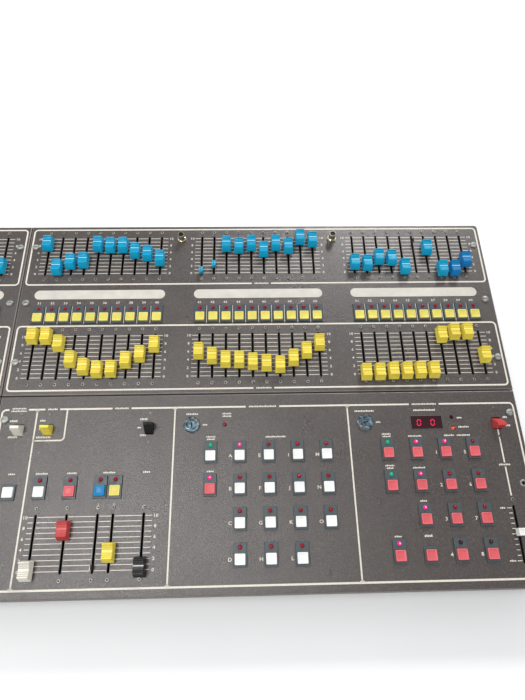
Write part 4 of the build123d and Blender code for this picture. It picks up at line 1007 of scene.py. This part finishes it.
def zero_digit(shape, x, y):
    """The six lit bars of a nought, leaning a little."""
    w, h, t = DIGIT_WIDTH / 2, DIGIT_HEIGHT / 2, SEGMENT_WIDTH / 2
    level_bars = ((0, h), (0, -h))
    upright_bars = ((w, h / 2), (w, -h / 2), (-w, -h / 2), (-w, h / 2))
    for bx, by in level_bars + upright_bars:
        upright = bx != 0
        reach = (h / 2 if upright else w) - 0.35
        ring = [(-reach, 0), (-reach + t, -t), (reach - t, -t), (reach, 0), (reach - t, t), (-reach + t, t)]
        if upright:
            ring = [(-py, px) for px, py in ring]
        place = (x + bx + by * DIGIT_SLANT, y + by)
        shape.rings([at(ring, height) for height in SEGMENT_LEVELS], 0, place)


digits = Shape()
for x in DIGIT_COLUMNS:
    zero_digit(digits, x, DIGIT_ROW)
digits.piece("lit_digits", ["digit"], "desk", (), 0)

# ---------------------------------------------------------------- lamp sockets: collar and contact
sockets = Shape()
socket_collar = turned([(4.85, 2.3), (5.6, 2.3), (5.6, 2.9), (5.2, 3.2), (4.85, 3.2)], 28)
contact = turned([(3.75, 10.6), (3.75, 11.0), (1.6, 11.1), (1.5, 11.9), (0.7, 12.0)], 20)
for module in (LEFT, RIGHT):
    for x in LAMP_SOCKET_COLUMNS:
        place = (module + x, LAMP_SOCKET_ROW)
        sockets.rings(socket_collar, 0, place, loop=True)
        sockets.rings(contact, 1, place)
sockets.piece("socket_washers", ["socket", "dark_plastic"], "desk", (), 40)

# ---------------------------------------------------------------- the carried-over CAD nodes
CAD_MATERIALS = {
    "left_preset_panel": "panel", "right_preset_panel": "panel", "playback_panel": "panel",
    "control_panel": "panel", "base_tray": "case", "left_end_panel": "case", "right_end_panel": "case",
    "rear_panel": "case", "centre_bulkhead": "steel", "panel_brackets": "steel", "support_rails": "steel",
    "panel_screws": "zinc", "fader_bodies": "slot", "button_housings": "bezel", "write_on_strips": "strip",
    "display_window": "window", "display_digits": "dark_plastic", "key_lock_bodies": "chrome",
    "paddle_switch_bodies": "dark_plastic", "lamp_sockets": "socket", "circuit_boards": "board",
    "processor_board": "board", "power_supply": "steel", "output_connectors": "dark_plastic",
    "mains_inlet": "dark_plastic", "rubber_feet": "black_rubber", "playback_mode_paddle": "cream",
    "flash_mode_paddle": "yellow", "blackout_paddle": "black", "speed_range_paddle": "red",
    "memory_key_plug": "key_metal", "chase_key_plug": "key_metal",
}
for name, label in CAD_MATERIALS.items():
    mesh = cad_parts[name].data
    mesh.materials.clear()
    mesh.materials.append(MATERIALS[label])

# ---------------------------------------------------------------- floor, light, camera
floor_material, tree, surface = shader("pale_floor")
tree.links.new(ramp(tree, noise(tree, 3, 3), (0.3, (0.86, 0.86, 0.86)), (0.7, (0.9, 0.9, 0.9))),
               surface.inputs["Base Color"])
surface.inputs["Roughness"].default_value = 0.9
floor_mesh = bpy.data.meshes.new("floor")
REACH = 14.0
floor_corners = [(-REACH, -REACH, 0), (REACH, -REACH, 0), (REACH, REACH, 0), (-REACH, REACH, 0)]
floor_mesh.from_pydata(floor_corners, [], [(0, 1, 2, 3)])
floor_mesh.materials.append(floor_material)
floor = bpy.data.objects.new("floor", floor_mesh)
bpy.context.scene.collection.objects.link(floor)

scene = bpy.context.scene
scene.view_settings.view_transform = "Standard"
world = bpy.data.worlds.new("studio")
world.use_nodes = True
background = world.node_tree.nodes["Background"]
background.inputs["Color"].default_value = (0.97, 0.985, 1.0, 1)
background.inputs["Strength"].default_value = 0.56
scene.world = world


def softbox(name, place, aim, size, power):
    light = bpy.data.lights.new(name, "AREA")
    light.shape = "RECTANGLE"
    light.size, light.size_y = size
    light.energy = power
    holder = bpy.data.objects.new(name, light)
    holder.location = place
    holder.rotation_mode = "QUATERNION"
    holder.rotation_quaternion = (Vector(aim) - Vector(place)).to_track_quat("-Z", "Y")
    bpy.context.scene.collection.objects.link(holder)


softbox("overhead", (-0.36, -0.5, 2.1), (0.15, -0.2, 0.1), (0.8, 0.5), 25)
softbox("left_fill", (-2.2, 0.7, 1.8), (0.2, 0.0, 0.1), (1.2, 1.2), 8)
softbox("rear_key", (1.15, 2.0, 1.9), (0.35, 0.0, 0.1), (0.6, 0.5), 42)

camera = bpy.data.cameras.new("camera")
camera.sensor_width = 36.0
camera.lens = camera.sensor_width * 5 / 7
camera.clip_start = 0.02
camera.clip_end = 60
view = bpy.data.objects.new("camera", camera)
scene.collection.objects.link(view)
CAMERA_PLACE = (324.5, -469.0, 635.5)       # in the top's plane, mm
CAMERA_TURN = (22.515, -1.237, -1.214)      # about its x, y and z, from straight down, degrees
turn = Matrix.Rotation(SLOPE, 3, "X") @ Euler([math.radians(angle) for angle in CAMERA_TURN]).to_matrix()
view.matrix_world = Matrix.Translation(TOP @ Vector(CAMERA_PLACE)) @ turn.to_4x4()
scene.camera = view
